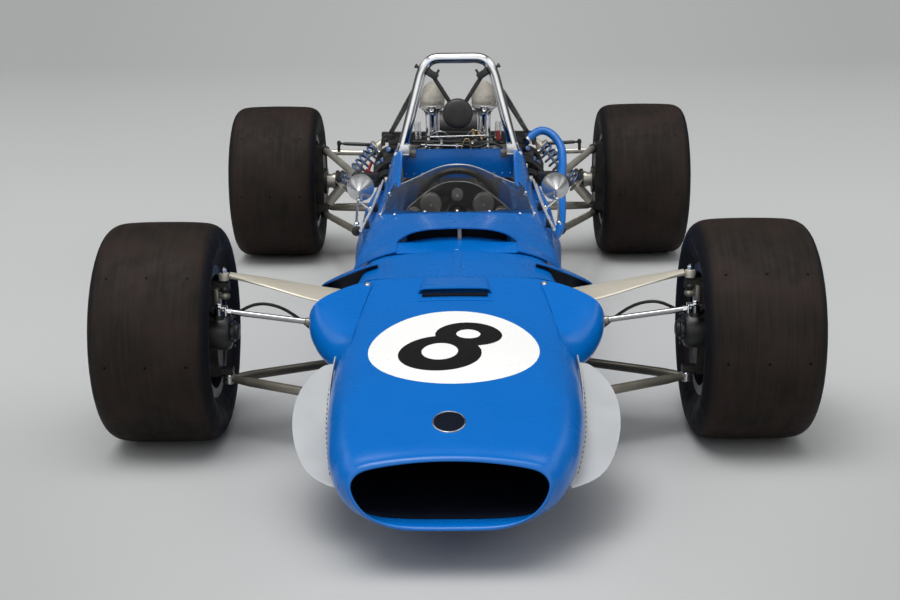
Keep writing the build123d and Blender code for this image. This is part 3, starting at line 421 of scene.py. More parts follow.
def discMask(tree, flatX, flatY, centre, radius, stretch=1.0):
    dx = sums(tree, "SUBTRACT", flatX, centre[0])
    dy = sums(tree, "MULTIPLY", sums(tree, "SUBTRACT", flatY, centre[1]), stretch)
    squared = sums(tree, "ADD", sums(tree, "MULTIPLY", dx, dx), sums(tree, "MULTIPLY", dy, dy))
    return sums(tree, "LESS_THAN", squared, radius * radius)


def ovalMask(tree, x, y, oval):
    centreX, centreY, halfWidth, halfDepth = oval
    return discMask(tree, x, y, (centreX, centreY), halfWidth, halfWidth / halfDepth)


def noseFinish():
    tree, shader, spot, blue = commonFinish("noseBlue", finishRows["bodyBlue"])
    polish(shader)
    parts = tree.nodes.new("ShaderNodeSeparateXYZ")
    tree.links.new(spot, parts.inputs[0])
    x, y, z = parts.outputs
    top = sums(tree, "GREATER_THAN", z, 0.25)
    white = sums(tree, "MULTIPLY", ovalMask(tree, x, y, roundel["white"]), top)
    outer, holes = [sums(tree, "MAXIMUM", ovalMask(tree, x, y, low), ovalMask(tree, x, y, high))
                    for low, high in (roundel["outers"], roundel["holes"])]
    black = sums(tree, "MULTIPLY", sums(tree, "SUBTRACT", outer, holes), white)
    withWhite = blended(tree, white, blue, (0.74, 0.745, 0.735))
    tree.links.new(blended(tree, black, withWhite, (0.006, 0.006, 0.006)), shader.inputs["Base Color"])


noseFinish()

# wear holes: how many round the tyre, where the first is, place of the outer rows as a share of the width
wear = {"holes": 8, "phase": 0.556, "outer": 0.33, "radius": 0.0038}


def tyreFinish(name, axleY, radius, width):
    # brown scrubbed rubber with wear holes over the tread and fine turning marks; painted shade on the
    # sidewalls and in the holes
    material, tree, shader, spot = newTree(name)
    parts = tree.nodes.new("ShaderNodeSeparateXYZ")
    tree.links.new(moved(tree, spot, (0, -axleY, -radius)), parts.inputs[0])
    x, y, z = parts.outputs
    turn = sums(tree, "ARCTAN2", y, z)
    side = sums(tree, "ABSOLUTE", sums(tree, "SUBTRACT", sums(tree, "ABSOLUTE", x), wheelX))
    # one hole in the middle and one to each side
    steps = sums(tree, "MULTIPLY", turn, wear["holes"] / (2 * pi))
    around = sums(tree, "FRACT", sums(tree, "ADD", steps, wear["phase"]))
    arc = sums(tree, "MULTIPLY", sums(tree, "SUBTRACT", around, 0.5), 2 * pi * radius / wear["holes"])
    row = sums(tree, "SUBTRACT", side, width * wear["outer"])
    holes = sums(tree, "MAXIMUM", discMask(tree, arc, row, (0, 0), wear["radius"]),
                 discMask(tree, arc, side, (0, 0), wear["radius"]))
    mottle = spread(tree, patches(tree, spot, 7, 8), 0, 1, 0.40, 0.60)
    streak = patches(tree, moved(tree, spot, (0, 0, 0), (60, 3, 3)), 2, 5)
    base = blended(tree, mottle, (0.0112, 0.0096, 0.0080), (0.0190, 0.0130, 0.0115))
    base = blended(tree, spread(tree, streak, 0, 0.6, 0.4, 0.7), base, (0.0245, 0.0180, 0.0145))
    # darker and bluish towards the sidewalls: painted shade
    base = blended(tree, spread(tree, side, 0, 1, width * 0.42, width * 0.46), base,
                   (0.0072, 0.0074, 0.0092))
    # the wear holes painted near black: painted shade in the holes
    tree.links.new(blended(tree, holes, base, (0.0006, 0.0006, 0.0006)), shader.inputs["Base Color"])
    shader.inputs["Specular IOR Level"].default_value = 0.08
    tree.links.new(spread(tree, patches(tree, spot, 30, 6), 0.55, 0.72), shader.inputs["Roughness"])
    fine = sums(tree, "ADD", patches(tree, spot, 420, 3), sums(tree, "MULTIPLY", holes, -2.0))
    raised(tree, shader, fine, 0.35, 0.0008)
    finishes[name] = material


for tyre in tyres.values():
    tyreFinish(tyre["finish"], tyre["y"], tyre["radius"], tyre["width"])


def gauzeFinish():
    # woven wire: fine bumps both ways, warm grey; the weave is painted into the colour as well, darker
    # between the wires as painted shade
    material, tree, shader, spot = newTree("gauze")
    parts = tree.nodes.new("ShaderNodeSeparateXYZ")
    tree.links.new(spot, parts.inputs[0])
    x, y, z = parts.outputs
    first = sums(tree, "SINE", sums(tree, "MULTIPLY", sums(tree, "ADD", x, z), 2400))
    other = sums(tree, "SINE", sums(tree, "MULTIPLY", sums(tree, "ADD", y, z), 2400))
    weave = sums(tree, "MULTIPLY", first, other)
    shade = spread(tree, weave, 0, 1, -0.6, 0.8)
    tree.links.new(blended(tree, shade, (0.24, 0.22, 0.19), (0.55, 0.52, 0.46)),
                   shader.inputs["Base Color"])
    tree.links.new(spread(tree, patches(tree, spot, 60), 0.4, 0.6), shader.inputs["Roughness"])
    shader.inputs["Metallic"].default_value = 0.5
    raised(tree, shader, weave, 0.6, 0.0006)
    finishes["gauze"] = material


gauzeFinish()


def screenFinish():
    # smoked acrylic, a little scuffed
    material, tree, shader, spot = newTree("screenClear")
    tint = blended(tree, spread(tree, patches(tree, spot, 9), 0, 1), (0.62, 0.62, 0.61), (0.70, 0.70, 0.69))
    tree.links.new(tint, shader.inputs["Base Color"])
    tree.links.new(spread(tree, patches(tree, spot, 25, 8), 0.02, 0.07), shader.inputs["Roughness"])
    shader.inputs["Transmission Weight"].default_value = 1.0
    shader.inputs["IOR"].default_value = 1.3
    raised(tree, shader, patches(tree, spot, 8, 1), 0.03, 0.002)
    finishes["screenClear"] = material


screenFinish()


def mirrorGlass():
    material, tree, shader, spot = newTree("mirrorGlass")
    tint = blended(tree, patches(tree, spot, 12), (0.82, 0.84, 0.86), (0.88, 0.9, 0.92))
    tree.links.new(tint, shader.inputs["Base Color"])
    tree.links.new(spread(tree, patches(tree, spot, 40), 0.01, 0.04), shader.inputs["Roughness"])
    shader.inputs["Metallic"].default_value = 1.0
    finishes["mirrorGlass"] = material


mirrorGlass()
print("finishes made:", len(finishes))

# every CAD node gets its finish; pieces that stand for a node come below
cadFinish = {
    "tub": "bodyBlue", "nose_cone": "noseBlue", "front_cover": "bodyBlue", "cockpit_surround": "bodyBlue",
    "windscreen": "screenClear", "canards": "finAluminium", "duct_lips": "bodyBlue", "radiator": "darkCore",
    "seat": "blackTrim", "dash": "dashBlack", "steering_wheel": "blackLeather", "roll_hoop": "chrome",
    "hoop_braces": "blackMetal", "headrest": "blackTrim", "mirrors": "polishedAluminium",
    "side_pipes": "chrome", "coolant_pipe": "blueHose", "engine_block": "castAlloy",
    "cylinder_heads": "camCover", "intake_trumpets": "chrome", "trumpet_screens": "gauze",
    "exhausts": "exhaustSteel", "gearbox": "castAlloy", "rear_crossbeam": "blackMetal",
    "oil_tank": "blackMetal", "rear_uprights": "castMagnesium", "rear_links": "satinNickel",
    "rear_dampers": "blackMetal", "front_arms": "champagne", "rack_housing": "castMagnesium",
    "steering_rack": "rodSteel",
}
for side in ("left", "right"):
    cadFinish[f"front_upright_{side}"] = "castMagnesium"
    cadFinish[f"brake_hose_{side}"] = "blackRubber"
    cadFinish[f"driveshaft_{side}"] = "satinNickel"
    for axle, tyre in tyres.items():
        cadFinish[f"tyre_{axle}_{side}"] = tyre["finish"]
        cadFinish[f"rim_{axle}_{side}"] = "rimDark"
for node, finish in cadFinish.items():
    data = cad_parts[node].data
    data.materials.clear()
    data.materials.append(finishes[finish])


# camera, floor and light

camera = {"place": (0.0246, frontAxleY - 3.6603, 1.3222), "down": 0.2493, "yaw": -0.0118, "roll": -0.0094,
          "lens": 54.8, "sensor": 36.0}


def makeCamera():
    bpy.ops.object.camera_add(location=camera["place"])
    eye = bpy.context.object
    eye.data.lens = camera["lens"]
    eye.data.sensor_width = camera["sensor"]
    aim = (Matrix.Rotation(-camera["yaw"], 4, "Z") @ Matrix.Rotation(pi / 2 - camera["down"], 4, "X")
           @ Matrix.Rotation(camera["roll"], 4, "Z"))
    eye.matrix_world = Matrix.Translation(Vector(camera["place"])) @ aim
    bpy.context.scene.camera = eye


makeCamera()

# the floor's grey, and the painted shade on it: how much it darkens far off and near the camera's feet, and
# how much less it darkens along the middle
studio = {"floorGrey": 0.425, "farDrop": 0.27, "nearDrop": 0.25, "middleGain": 0.12, "sun": 1.05,
          "sunAngle": 34}


def makeFloor():
    # pale floor with painted shade: a little darker far off, except along the middle, and darker towards the
    # near corners
    away()
    bpy.ops.mesh.primitive_circle_add(vertices=96, radius=90, fill_type="NGON", location=(0, 0, -0.0015))
    floor = bpy.context.object
    floor.name = "studioFloor"
    material, tree, shader, spot = newTree("studioFloor")
    parts = tree.nodes.new("ShaderNodeSeparateXYZ")
    tree.links.new(spot, parts.inputs[0])
    x, y, z = parts.outputs
    far = spread(tree, y, 0, 1, 2.2, 12.0)
    slant = sums(tree, "DIVIDE", sums(tree, "ABSOLUTE", x), sums(tree, "ADD", y, 6.0))
    middle = spread(tree, slant, studio["middleGain"], 0, 0.02, 0.26)
    darker = sums(tree, "MULTIPLY", far, sums(tree, "SUBTRACT", studio["farDrop"], middle))
    near = sums(tree, "MULTIPLY", spread(tree, y, studio["nearDrop"], 0, -2.3, -0.5),
                spread(tree, sums(tree, "ABSOLUTE", x), 0, 1, 0.3, 1.2))
    darker = sums(tree, "ADD", darker, near)
    grey = studio["floorGrey"]
    tint = blended(tree, patches(tree, spot, 0.6), (grey, grey * 1.012, grey * 1.010),
                   (grey * 0.985, grey * 1.0, grey))
    tree.links.new(blended(tree, darker, tint, (0, 0, 0)), shader.inputs["Base Color"])
    shader.inputs["Roughness"].default_value = 0.7
    shader.inputs["Specular IOR Level"].default_value = 0.2
    floor.data.materials.append(material)
    settle(floor)


makeFloor()


def makeLight(name, spot, aim, size, power, colour=(1, 1, 1)):
    bpy.ops.object.light_add(type="AREA", location=spot)
    lamp = bpy.context.object
    lamp.name = name
    lamp.data.shape = "RECTANGLE"
    lamp.data.size, lamp.data.size_y = size
    lamp.data.energy = power
    lamp.data.color = colour
    lamp.rotation_euler = (Vector(aim) - Vector(spot)).to_track_quat("-Z", "Y").to_euler()


makeLight("overheadSoft", (-0.8, -1.6, 5.0), (0, -0.2, 0), (2.4, 2.4), 30)
bpy.ops.object.light_add(type="SUN", location=(0, 0, 6))
sun = bpy.context.object
sun.name = "softSun"
sun.data.energy = studio["sun"]
sun.data.angle = radians(studio["sunAngle"])
sun.rotation_euler = (radians(18), radians(-14), 0)


# heights are those of the direction looked in, from 0 at the horizon to 1 straight up
room = {"horizon": 0.30, "wall": 0.09, "ceiling": 3.15, "ceilingStart": 0.80, "ceilingFull": 0.95,
        "sideBox": 0.95, "behindCamera": 1.0}


def makeWorld():
    # a dark room with a broad bright ceiling: light from above, little for the paint to mirror
    world = bpy.data.worlds.new("studio")
    bpy.context.scene.world = world
    world.use_nodes = True
    tree = world.node_tree
    parts = tree.nodes.new("ShaderNodeSeparateXYZ")
    tree.links.new(tree.nodes.new("ShaderNodeTexCoord").outputs["Generated"], parts.inputs[0])
    rise = parts.outputs[2]
    walls = spread(tree, rise, room["horizon"], room["wall"], 0.0, 0.06)
    ceiling = spread(tree, rise, 0.0, room["ceiling"], room["ceilingStart"], room["ceilingFull"])
    # the ceiling light ends behind the car, where the screen and the nose would mirror it
    ceiling = sums(tree, "MULTIPLY", ceiling, spread(tree, parts.outputs[1], 1.0, 0.04, 0.06, 0.26))
    back = tree.nodes["Background"]
    back.inputs["Color"].default_value = (1, 1, 1, 1)
    behind = spread(tree, parts.outputs[1], room["behindCamera"], 0.0, -0.8, -0.2)
    # a soft box to each side, mirrored by the shoulders of the nose
    box = sums(tree, "MULTIPLY", spread(tree, sums(tree, "ABSOLUTE", parts.outputs[0]), 0, room["sideBox"],
                                        0.50, 0.66),
               spread(tree, rise, 0, 1, 0.36, 0.50))
    box = sums(tree, "MULTIPLY", box, spread(tree, rise, 1, 0, 0.70, 0.82))
    total = sums(tree, "ADD", sums(tree, "ADD", walls, behind), sums(tree, "ADD", ceiling, box))
    tree.links.new(total, back.inputs["Strength"])


makeWorld()
bpy.context.scene.view_settings.view_transform = "Standard"
print("camera, floor and light made")


# nose

# columns: y from the front axle, half widths at the floor, waist and shoulder, then the heights of floor,
# waist, shoulder and crown
noseRows = [
    (-0.935, 0.125, 0.205, 0.180, 0.115, 0.200, 0.240, 0.256),
    (-0.915, 0.146, 0.220, 0.186, 0.1115, 0.203, 0.248, 0.264),
    (-0.900, 0.158, 0.236, 0.192, 0.109, 0.205, 0.254, 0.271),
    (-0.880, 0.170, 0.251, 0.205, 0.106, 0.206, 0.264, 0.279),
    (-0.860, 0.179, 0.261, 0.213, 0.103, 0.208, 0.272, 0.286),
    (-0.800, 0.192, 0.281, 0.224, 0.097, 0.222, 0.287, 0.302),
    (-0.740, 0.199, 0.292, 0.230, 0.094, 0.234, 0.302, 0.318),
    (-0.620, 0.206, 0.307, 0.237, 0.092, 0.252, 0.331, 0.349),
    (-0.460, 0.212, 0.313, 0.245, 0.092, 0.273, 0.356, 0.378),
    (-0.300, 0.216, 0.311, 0.250, 0.092, 0.292, 0.379, 0.402),
    (-0.140, 0.216, 0.304, 0.252, 0.096, 0.312, 0.411, 0.426),
    (0.010, 0.216, 0.301, 0.252, 0.100, 0.331, 0.446, 0.453),
]
# the ears that cover the arms' feet: rows from front to back, each from the crease over the outer edge to
# the foot
earRows = [
    [(0.262, -0.330, 0.363), (0.274, -0.330, 0.353), (0.286, -0.330, 0.339), (0.294, -0.330, 0.323),
     (0.300, -0.330, 0.309), (0.303, -0.330, 0.297), (0.304, -0.330, 0.286), (0.302, -0.330, 0.276)],
    [(0.262, -0.280, 0.374), (0.280, -0.280, 0.366), (0.302, -0.280, 0.352), (0.318, -0.280, 0.336),
     (0.325, -0.280, 0.318), (0.324, -0.280, 0.302), (0.317, -0.280, 0.286), (0.303, -0.280, 0.274)],
    [(0.258, -0.235, 0.380), (0.291, -0.235, 0.387), (0.327, -0.235, 0.376), (0.350, -0.235, 0.358),
     (0.358, -0.235, 0.335), (0.358, -0.235, 0.310), (0.341, -0.235, 0.284), (0.304, -0.235, 0.268)],
    [(0.254, -0.180, 0.395), (0.292, -0.185, 0.404), (0.347, -0.190, 0.399), (0.373, -0.190, 0.382),
     (0.383, -0.190, 0.355), (0.378, -0.190, 0.322), (0.350, -0.190, 0.283), (0.305, -0.190, 0.263)],
    [(0.244, -0.110, 0.414), (0.290, -0.120, 0.421), (0.354, -0.160, 0.417), (0.380, -0.165, 0.396),
     (0.389, -0.165, 0.362), (0.383, -0.165, 0.326), (0.352, -0.170, 0.282), (0.307, -0.170, 0.262)],
    [(0.236, -0.050, 0.430), (0.290, -0.070, 0.431), (0.360, -0.138, 0.424), (0.383, -0.144, 0.400),
     (0.391, -0.142, 0.366), (0.386, -0.144, 0.329), (0.353, -0.150, 0.280), (0.308, -0.146, 0.260)],
    [(0.222, 0.004, 0.445), (0.290, -0.036, 0.440), (0.364, -0.130, 0.428), (0.385, -0.138, 0.402),
     (0.392, -0.135, 0.368), (0.387, -0.140, 0.331), (0.354, -0.145, 0.279), (0.309, -0.140, 0.258)],
]
mouth = {"rake": 0.035, "lipFoot": 0.112, "lipHeight": 0.15, "ductEnd": -0.50,
         "shift": -0.012, "shiftFrom": -0.60, "shiftRun": 0.30, "shiftPower": 1.6}
# the rear corners' cut round the upper arms: where it starts, how wide and how deep it is
cornerCut = {"start": 0.285, "width": 0.031, "back": 0.010, "depth": 0.144, "slope": 0.16}


def noseHalf(y, inset=0.0):
    # half a section from the floor's middle round to the crown: x and height
    inTable = max(y, noseRows[0][0])
    footHalf, waistHalf, shoulderHalf, floorZ, waistZ, shoulderZ, crownZ = onTable(noseRows, inTable)
    foot, waist, shoulder = footHalf - inset, waistHalf - inset, shoulderHalf - inset
    low, high, top = floorZ + inset, shoulderZ - inset, crownZ - inset
    half = [(0, low), (0.55 * foot, low), (0.95 * foot, low + 0.003)]
    half += [(between(foot, waist, out), between(floorZ, waistZ, up))
             for out, up in ((0.55, 0.30), (0.88, 0.62), (1, 1))]
    half += [(between(waist, shoulder, out), between(waistZ, high, up))
             for out, up in ((0.18, 0.42), (0.5, 0.76), (1, 1))]
    return half + [(shoulder * out, between(high, top, up))
                   for out, up in ((0.70, 0.5), (0.36, 0.88), (0, 1))]


def leanedBack(y, z, rake):
    return y + rake * (z - mouth["lipFoot"]) / mouth["lipHeight"]


def noseRing(y, inset=0.0, rake=0.0, end=None):
    # one section; with a rake it leans back towards the crown but keeps to the same outer form
    half = []
    for n, (x, z) in enumerate(noseHalf(y, inset)):
        back = leanedBack(y, z, rake)
        half.append((*noseHalf(back, inset)[n], back))
    ring = half + [(-x, z, back) for x, z, back in reversed(half[:-1])]
    shaped = []
    for x, z, back in ring:
        if end:
            back = min(back, end(abs(x)))
        # the tip sits a little off the middle line, as on the real car
        tipShare = min(max((mouth["shiftFrom"] - back) / mouth["shiftRun"], 0.0), 1.0)
        shaped.append((x + mouth["shift"] * tipShare ** mouth["shiftPower"], frontAxleY + back, z))
    return shaped


def backEdge(x):
    # the rear corners are cut back round the upper arms
    past = x - cornerCut["start"]
    if past <= 0:
        return cornerCut["back"]
    if past <= cornerCut["width"]:
        return cornerCut["back"] - cornerCut["depth"] * past / cornerCut["width"]
    return cornerCut["back"] - cornerCut["depth"] - cornerCut["slope"] * (past - cornerCut["width"])


def makeNose():
    rake = mouth["rake"]
    # from inside the mouth round the lip and back: y, inset, share of the rake
    lipRows = [(-0.880, 0.0175, 1), (-0.905, 0.0162, 1), (-0.924, 0.0130, 1), (-0.9325, 0.0085, 1),
               (-0.9345, 0.0035, 1), (-0.9300, -0.0008, 1), (-0.9240, 0.0008, 1), (-0.9160, 0.0008, 1),
               (-0.905, 0.0, 0.92), (-0.885, 0.0, 0.78), (-0.860, 0.0, 0.6), (-0.830, 0.0, 0.4),
               (-0.800, 0.0, 0.22), (-0.770, 0.0, 0.08)]
    rows = [noseRing(y, inset, rake * share) for y, inset, share in lipRows]
    for y in (-0.74, -0.68, -0.62, -0.56, -0.51, -0.46, -0.395, -0.33, -0.28, -0.23, -0.185, -0.14):
        rows.append(noseRing(y))
    rows.append(noseRing(-0.09, end=backEdge))
    rows.append(noseRing(-0.03, end=backEdge))
    rows.append(noseRing(0.000, end=lambda x: backEdge(x) - 0.006))
    rows.append(noseRing(0.010, end=backEdge))
    shell = skin("noseShell", rows, levels=0, ring=True)
    # the underside ends at a slanting line, where the tub's floor begins
    pick(shell)
    bpy.ops.object.mode_set(mode="EDIT")
    bpy.ops.mesh.select_all(action="SELECT")
    bpy.ops.mesh.bisect(plane_co=(0, frontAxleY - 0.28, 0.098), plane_no=(0, 0.707, -0.707),
                        clear_outer=True)
    bpy.ops.object.mode_set(mode="OBJECT")
    rounded(shell, 2)
    modified(shell, "SOLIDIFY", thickness=0.005, offset=-1)
    return settle(shell, 50)


noseShell = makeNose()
place(noseShell, "chassis", "noseBlue", "body_blue", "nose_cone")
ear = skin("noseEar", [fromAxle(row) for row in earRows], 2, -0.004)
ears = bothSides("noseEars", [ear])
place(ears, "chassis", "bodyBlue", "body_blue")
# the duct inside the mouth, black as painted shade in the mouth: y, inset, share of the rake
ductRings = [(-0.893, 0.0188, 1), (-0.86, 0.0215, 0.8), (-0.80, 0.0245, 0.4), (-0.74, 0.0265, 0),
             (mouth["ductEnd"], 0.031, 0)]
noseDuct = skin("noseDuct", [noseRing(y, inset, mouth["rake"] * share) for y, inset, share in ductRings], 1,
                ring=True)
modified(noseDuct, "SOLIDIFY", thickness=0.002, offset=0)
place(settle(noseDuct, 60), "chassis", "blackAndShade", "black_metal")
print("nose made")


# riveted cover and cockpit surround

# columns: y from the front axle, half width at the foot, shoulder; foot, shoulder and crown heights
coverRows = [
    (0.010, 0.284, 0.242, 0.412, 0.446, 0.453),
    (0.160, 0.268, 0.224, 0.424, 0.459, 0.474),
    (0.335, 0.250, 0.192, 0.440, 0.477, 0.500),
]
# the surround's section at some places along the car: y from the front axle, then x and z by turns, from the
# middle outwards
surroundSections = [
    (0.215, 0.0, 0.479, 0.100, 0.479, 0.145, 0.479, 0.175, 0.478, 0.213, 0.469, 0.249, 0.457, 0.284, 0.437,
     0.302, 0.416),
    (0.300, 0.0, 0.531, 0.095, 0.527, 0.145, 0.515, 0.175, 0.493, 0.212, 0.474, 0.249, 0.456, 0.281, 0.442,
     0.296, 0.428),
    (0.400, 0.0, 0.535, 0.100, 0.532, 0.150, 0.523, 0.190, 0.505, 0.222, 0.487, 0.252, 0.469, 0.281, 0.453,
     0.293, 0.440),
    (0.500, 0.0, 0.536, 0.105, 0.533, 0.160, 0.525, 0.205, 0.509, 0.231, 0.497, 0.255, 0.482, 0.279, 0.461,
     0.291, 0.445),
    (0.600, 0.0, 0.540, 0.110, 0.537, 0.168, 0.529, 0.208, 0.518, 0.234, 0.509, 0.254, 0.497, 0.272, 0.478,
     0.288, 0.449),
    (0.960, 0.0, 0.565, 0.110, 0.563, 0.170, 0.561, 0.200, 0.558, 0.222, 0.546, 0.242, 0.522, 0.260, 0.482,
     0.268, 0.464),
    (1.440, 0.0, 0.622, 0.110, 0.621, 0.180, 0.620, 0.216, 0.618, 0.232, 0.603, 0.246, 0.566, 0.262, 0.500,
     0.268, 0.474),
]
crescent = {"lip": 0.300, "half": 0.175}


def coverRow(y):
    footHalf, topHalf, footZ, topZ, crownZ = onTable(coverRows, y)
    half = [(footHalf, footZ), (footHalf - 0.006, between(footZ, topZ, 0.6)),
            (topHalf + 0.008, topZ - 0.003), (topHalf * 0.94, topZ + 0.003),
            (topHalf * 0.75, between(topZ, crownZ, 0.42)), (topHalf * 0.38, between(topZ, crownZ, 0.86)),
            (0, crownZ)]
    return fromAxle([(x, y, z) for x, z in half] + [(-x, y, z) for x, z in reversed(half[:-1])])


frontCover = skin("frontCover", [coverRow(y) for y in (0.0115, 0.015, 0.09, 0.16, 0.25, 0.325, 0.335)], 2,
                  -0.004)
place(frontCover, "chassis", "bodyBlue", "body_blue", "front_cover")


def surroundSpots(y):
    # the section at y as points, from the middle outwards
    flat = onTable(surroundSections, y)
    return list(zip(flat[0::2], flat[1::2]))


def surroundZ(x, y):
    spots = surroundSpots(y)
    for (nearX, nearZ), (farX, farZ) in zip(spots, spots[1:]):
        if abs(x) <= farX:
            return between(nearZ, farZ, (abs(x) - nearX) / (farX - nearX))
    return spots[-1][1]


def surroundRow(outerY, innerX, innerY):
    # from the foot up to the inner edge, which is the middle line ahead of the cockpit
    outer = surroundSpots(outerY)[-3:]
    mid = outer[0][0]
    row = [(x, outerY, z) for x, z in reversed(outer)]
    if innerX == 0:
        places = (0.215, 0.186, crescent["half"], 0.164, 0.140, 0.095, 0.045, 0.0)
        shares = [(mid - x) / mid for x in places]
    else:
        shares = (0.16, 0.32, 0.44, 0.56, 0.70, 0.84, 0.94, 1.0)
    for share in shares:
        x, y = between(mid, innerX, share), between(outerY, innerY, share)
        row.append((x, y, surroundZ(x, y)))
    return fromAxle(row)


# columns: y at the foot, x and y at the inner edge
surroundEdges = [(0.215, 0, 0.215), (0.222, 0, 0.222), (0.255, 0, 0.255), (0.288, 0, 0.288),
                 (0.300, 0, 0.300), (0.307, 0, 0.307), (0.345, 0, 0.350), (0.40, 0, 0.42), (0.45, 0, 0.490),
                 (0.475, 0, 0.512), (0.52, 0.075, 0.526), (0.56, 0.142, 0.560), (0.62, 0.188, 0.615),
                 (0.68, 0.192, 0.68), (0.80, 0.193, 0.80), (0.96, 0.194, 0.96), (1.10, 0.197, 1.10),
                 (1.25, 0.201, 1.25), (1.36, 0.204, 1.36), (1.432, 0.206, 1.432), (1.440, 0.206, 1.440)]


def makeSurround():
    rows = [surroundRow(*edge) for edge in surroundEdges]
    half = skin("surroundHalf", rows, 0)
    # the middle ahead of the lip is open: the ledge below takes its place
    pick(half)
    bpy.ops.object.mode_set(mode="EDIT")
    bpy.ops.mesh.select_mode(type="FACE")
    bpy.ops.mesh.select_all(action="DESELECT")
    bpy.ops.object.mode_set(mode="OBJECT")
    for face in half.data.polygons:
        face.select = face.center.y < frontAxleY + crescent["lip"] and face.center.x < crescent["half"]
    bpy.ops.object.mode_set(mode="EDIT")
    bpy.ops.mesh.delete(type="FACE")
    bpy.ops.mesh.select_mode(type="VERT")
    bpy.ops.object.mode_set(mode="OBJECT")
    whole = bothSides("cockpitSurroundSkin", [half])
    pick(whole)
    bpy.ops.object.mode_set(mode="EDIT")
    bpy.ops.mesh.select_all(action="SELECT")
    bpy.ops.mesh.remove_doubles(threshold=0.0001)
    bpy.ops.object.mode_set(mode="OBJECT")
    rounded(whole, 2)
    modified(whole, "SOLIDIFY", thickness=0.004, offset=-1)
    return settle(whole, 50)


surround = makeSurround()
place(surround, "chassis", "bodyBlue", "body_blue", "cockpit_surround")


def makeLedge():
    rows = []
    for y, z in ((0.2155, 0.4770), (0.219, 0.4795), (0.245, 0.4845), (0.275, 0.4895), (0.295, 0.4915),
                 (0.303, 0.4905), (0.312, 0.486), (0.330, 0.472), (0.350, 0.450)):
        rows.append([(x, frontAxleY + y, z - 0.0012 * (abs(x) > 0.16))
                     for x in (-0.178, -0.165, -0.10, 0, 0.10, 0.165, 0.178)])
    return skin("intakeLedge", rows, 1, 0.003)


ledge = makeLedge()
place(ledge, "chassis", "bodyBlue", "body_blue")
post = block("intakePost", (0.002, frontAxleY + 0.318, 0.47), (0.014, frontAxleY + 0.330, 0.530), 0.003)
place(post, "chassis", "greyMetal", "polished_aluminium")
# a black block behind the crescent intake: painted shade in its opening
dark = block("intakeDark", (-0.150, frontAxleY + 0.372, 0.455), (0.150, frontAxleY + 0.378, 0.517), 0.002)
place(dark, "chassis", "blackAndShade", "black_rubber")

# fairings behind the upper arms: y from the front axle, inner x and z, outer x and z, the outer lip's height
ductRows = [
    (0.104, 0.226, 0.469, 0.387, 0.412, 0.399),
    (0.112, 0.227, 0.470, 0.386, 0.413, 0.398),
    (0.180, 0.234, 0.455, 0.372, 0.408, 0.392),
    (0.260, 0.238, 0.438, 0.350, 0.403, 0.386),
    (0.330, 0.240, 0.425, 0.333, 0.397, 0.380),
]


def makeDucts():
    def rowAt(y, xi, zi, xo, zo, zl, drop):
        half = [(xi - 0.004, zi - drop), (xi + 0.012, zi - drop - 0.001),
                (between(xi, xo, 0.5), between(zi, zo, 0.46) - drop), (xo - 0.022, zo + 0.006 - drop),
                (xo - 0.004, zo - drop * 0.6), (xo - drop, zl), (xo - 0.016, zl - 0.018),
                (xo - 0.027, zl - 0.030)]
        return fromAxle([(x, y, z) for x, z in half])

    top = skin("ductTop", [rowAt(*row, 0.0) for row in ductRows], 2, 0.003)
    # under the blue top, a dark navy sheet, an end and a side: painted shade under the fairing
    shadeSheet = skin("ductShadeSheet", [rowAt(*row, 0.0042) for row in ductRows], 1, 0.001)
    under = rowAt(0.19, *onTable(ductRows, 0.19), 0.006)[:6]
    wall = skin("ductEnd", [under, [(x, y, z - 0.05) for x, y, z in under]], 0, 0.002)
    inner = [rowAt(y, *onTable(ductRows, y), 0.006)[0] for y in (0.106, 0.15, 0.19)]
    side = skin("ductSide", [inner, [(x, y, z - 0.07) for x, y, z in inner]], 0, 0.002)
    place(bothSides("ductTops", [top]), "chassis", "bodyBlue", "body_blue", "duct_lips")
    place(bothSides("ductShadeSheets", [shadeSheet, wall, side]), "chassis", "ductShadeNavy", "body_blue")


makeDucts()
print("cover, surround and ducts made")

# windscreen

# columns: foot x, y, z and top x, y, z, from the middle to the rear corner; y from the front axle
screenColumns = [
    (0.000, 0.500, 0.537, 0.000, 0.760, 0.652),
    (0.050, 0.501, 0.5365, 0.040, 0.770, 0.647),
    (0.100, 0.506, 0.534, 0.076, 0.808, 0.630),
    (0.150, 0.522, 0.528, 0.108, 0.858, 0.607),
    (0.196, 0.548, 0.518, 0.138, 0.900, 0.587),
    (0.228, 0.578, 0.510, 0.162, 0.925, 0.573),
    (0.245, 0.612, 0.507, 0.180, 0.940, 0.563),
    (0.242, 0.690, 0.517, 0.190, 0.947, 0.558),
    (0.226, 0.820, 0.538, 0.196, 0.950, 0.556),
    (0.208, 0.935, 0.554, 0.199, 0.951, 0.555),
]
screenForm = {"belly": 0.012, "bellyMiddle": 0.72, "wall": 0.003}


def makeScreen():
    left = [(-fx, fy, fz, -tx, ty, tz) for fx, fy, fz, tx, ty, tz in reversed(screenColumns[1:])]
    ordered = left + screenColumns
    rows = []
    for share in (0.0, 0.25, 0.5, 0.75, 1.0):
        row = []
        for fx, fy, fz, tx, ty, tz in ordered:
            belly = screenForm["belly"] * sin(pi * share)
            out = Vector((fx, fy - screenForm["bellyMiddle"], 0)).normalized() * belly
            row.append((between(fx, tx, share) + out.x, between(fy, ty, share) + out.y,
                        between(fz, tz, share) + belly * 0.6))
        rows.append(fromAxle(row))
    return skin("windscreenShell", rows, 2, screenForm["wall"]), rows[-1], rows[0]


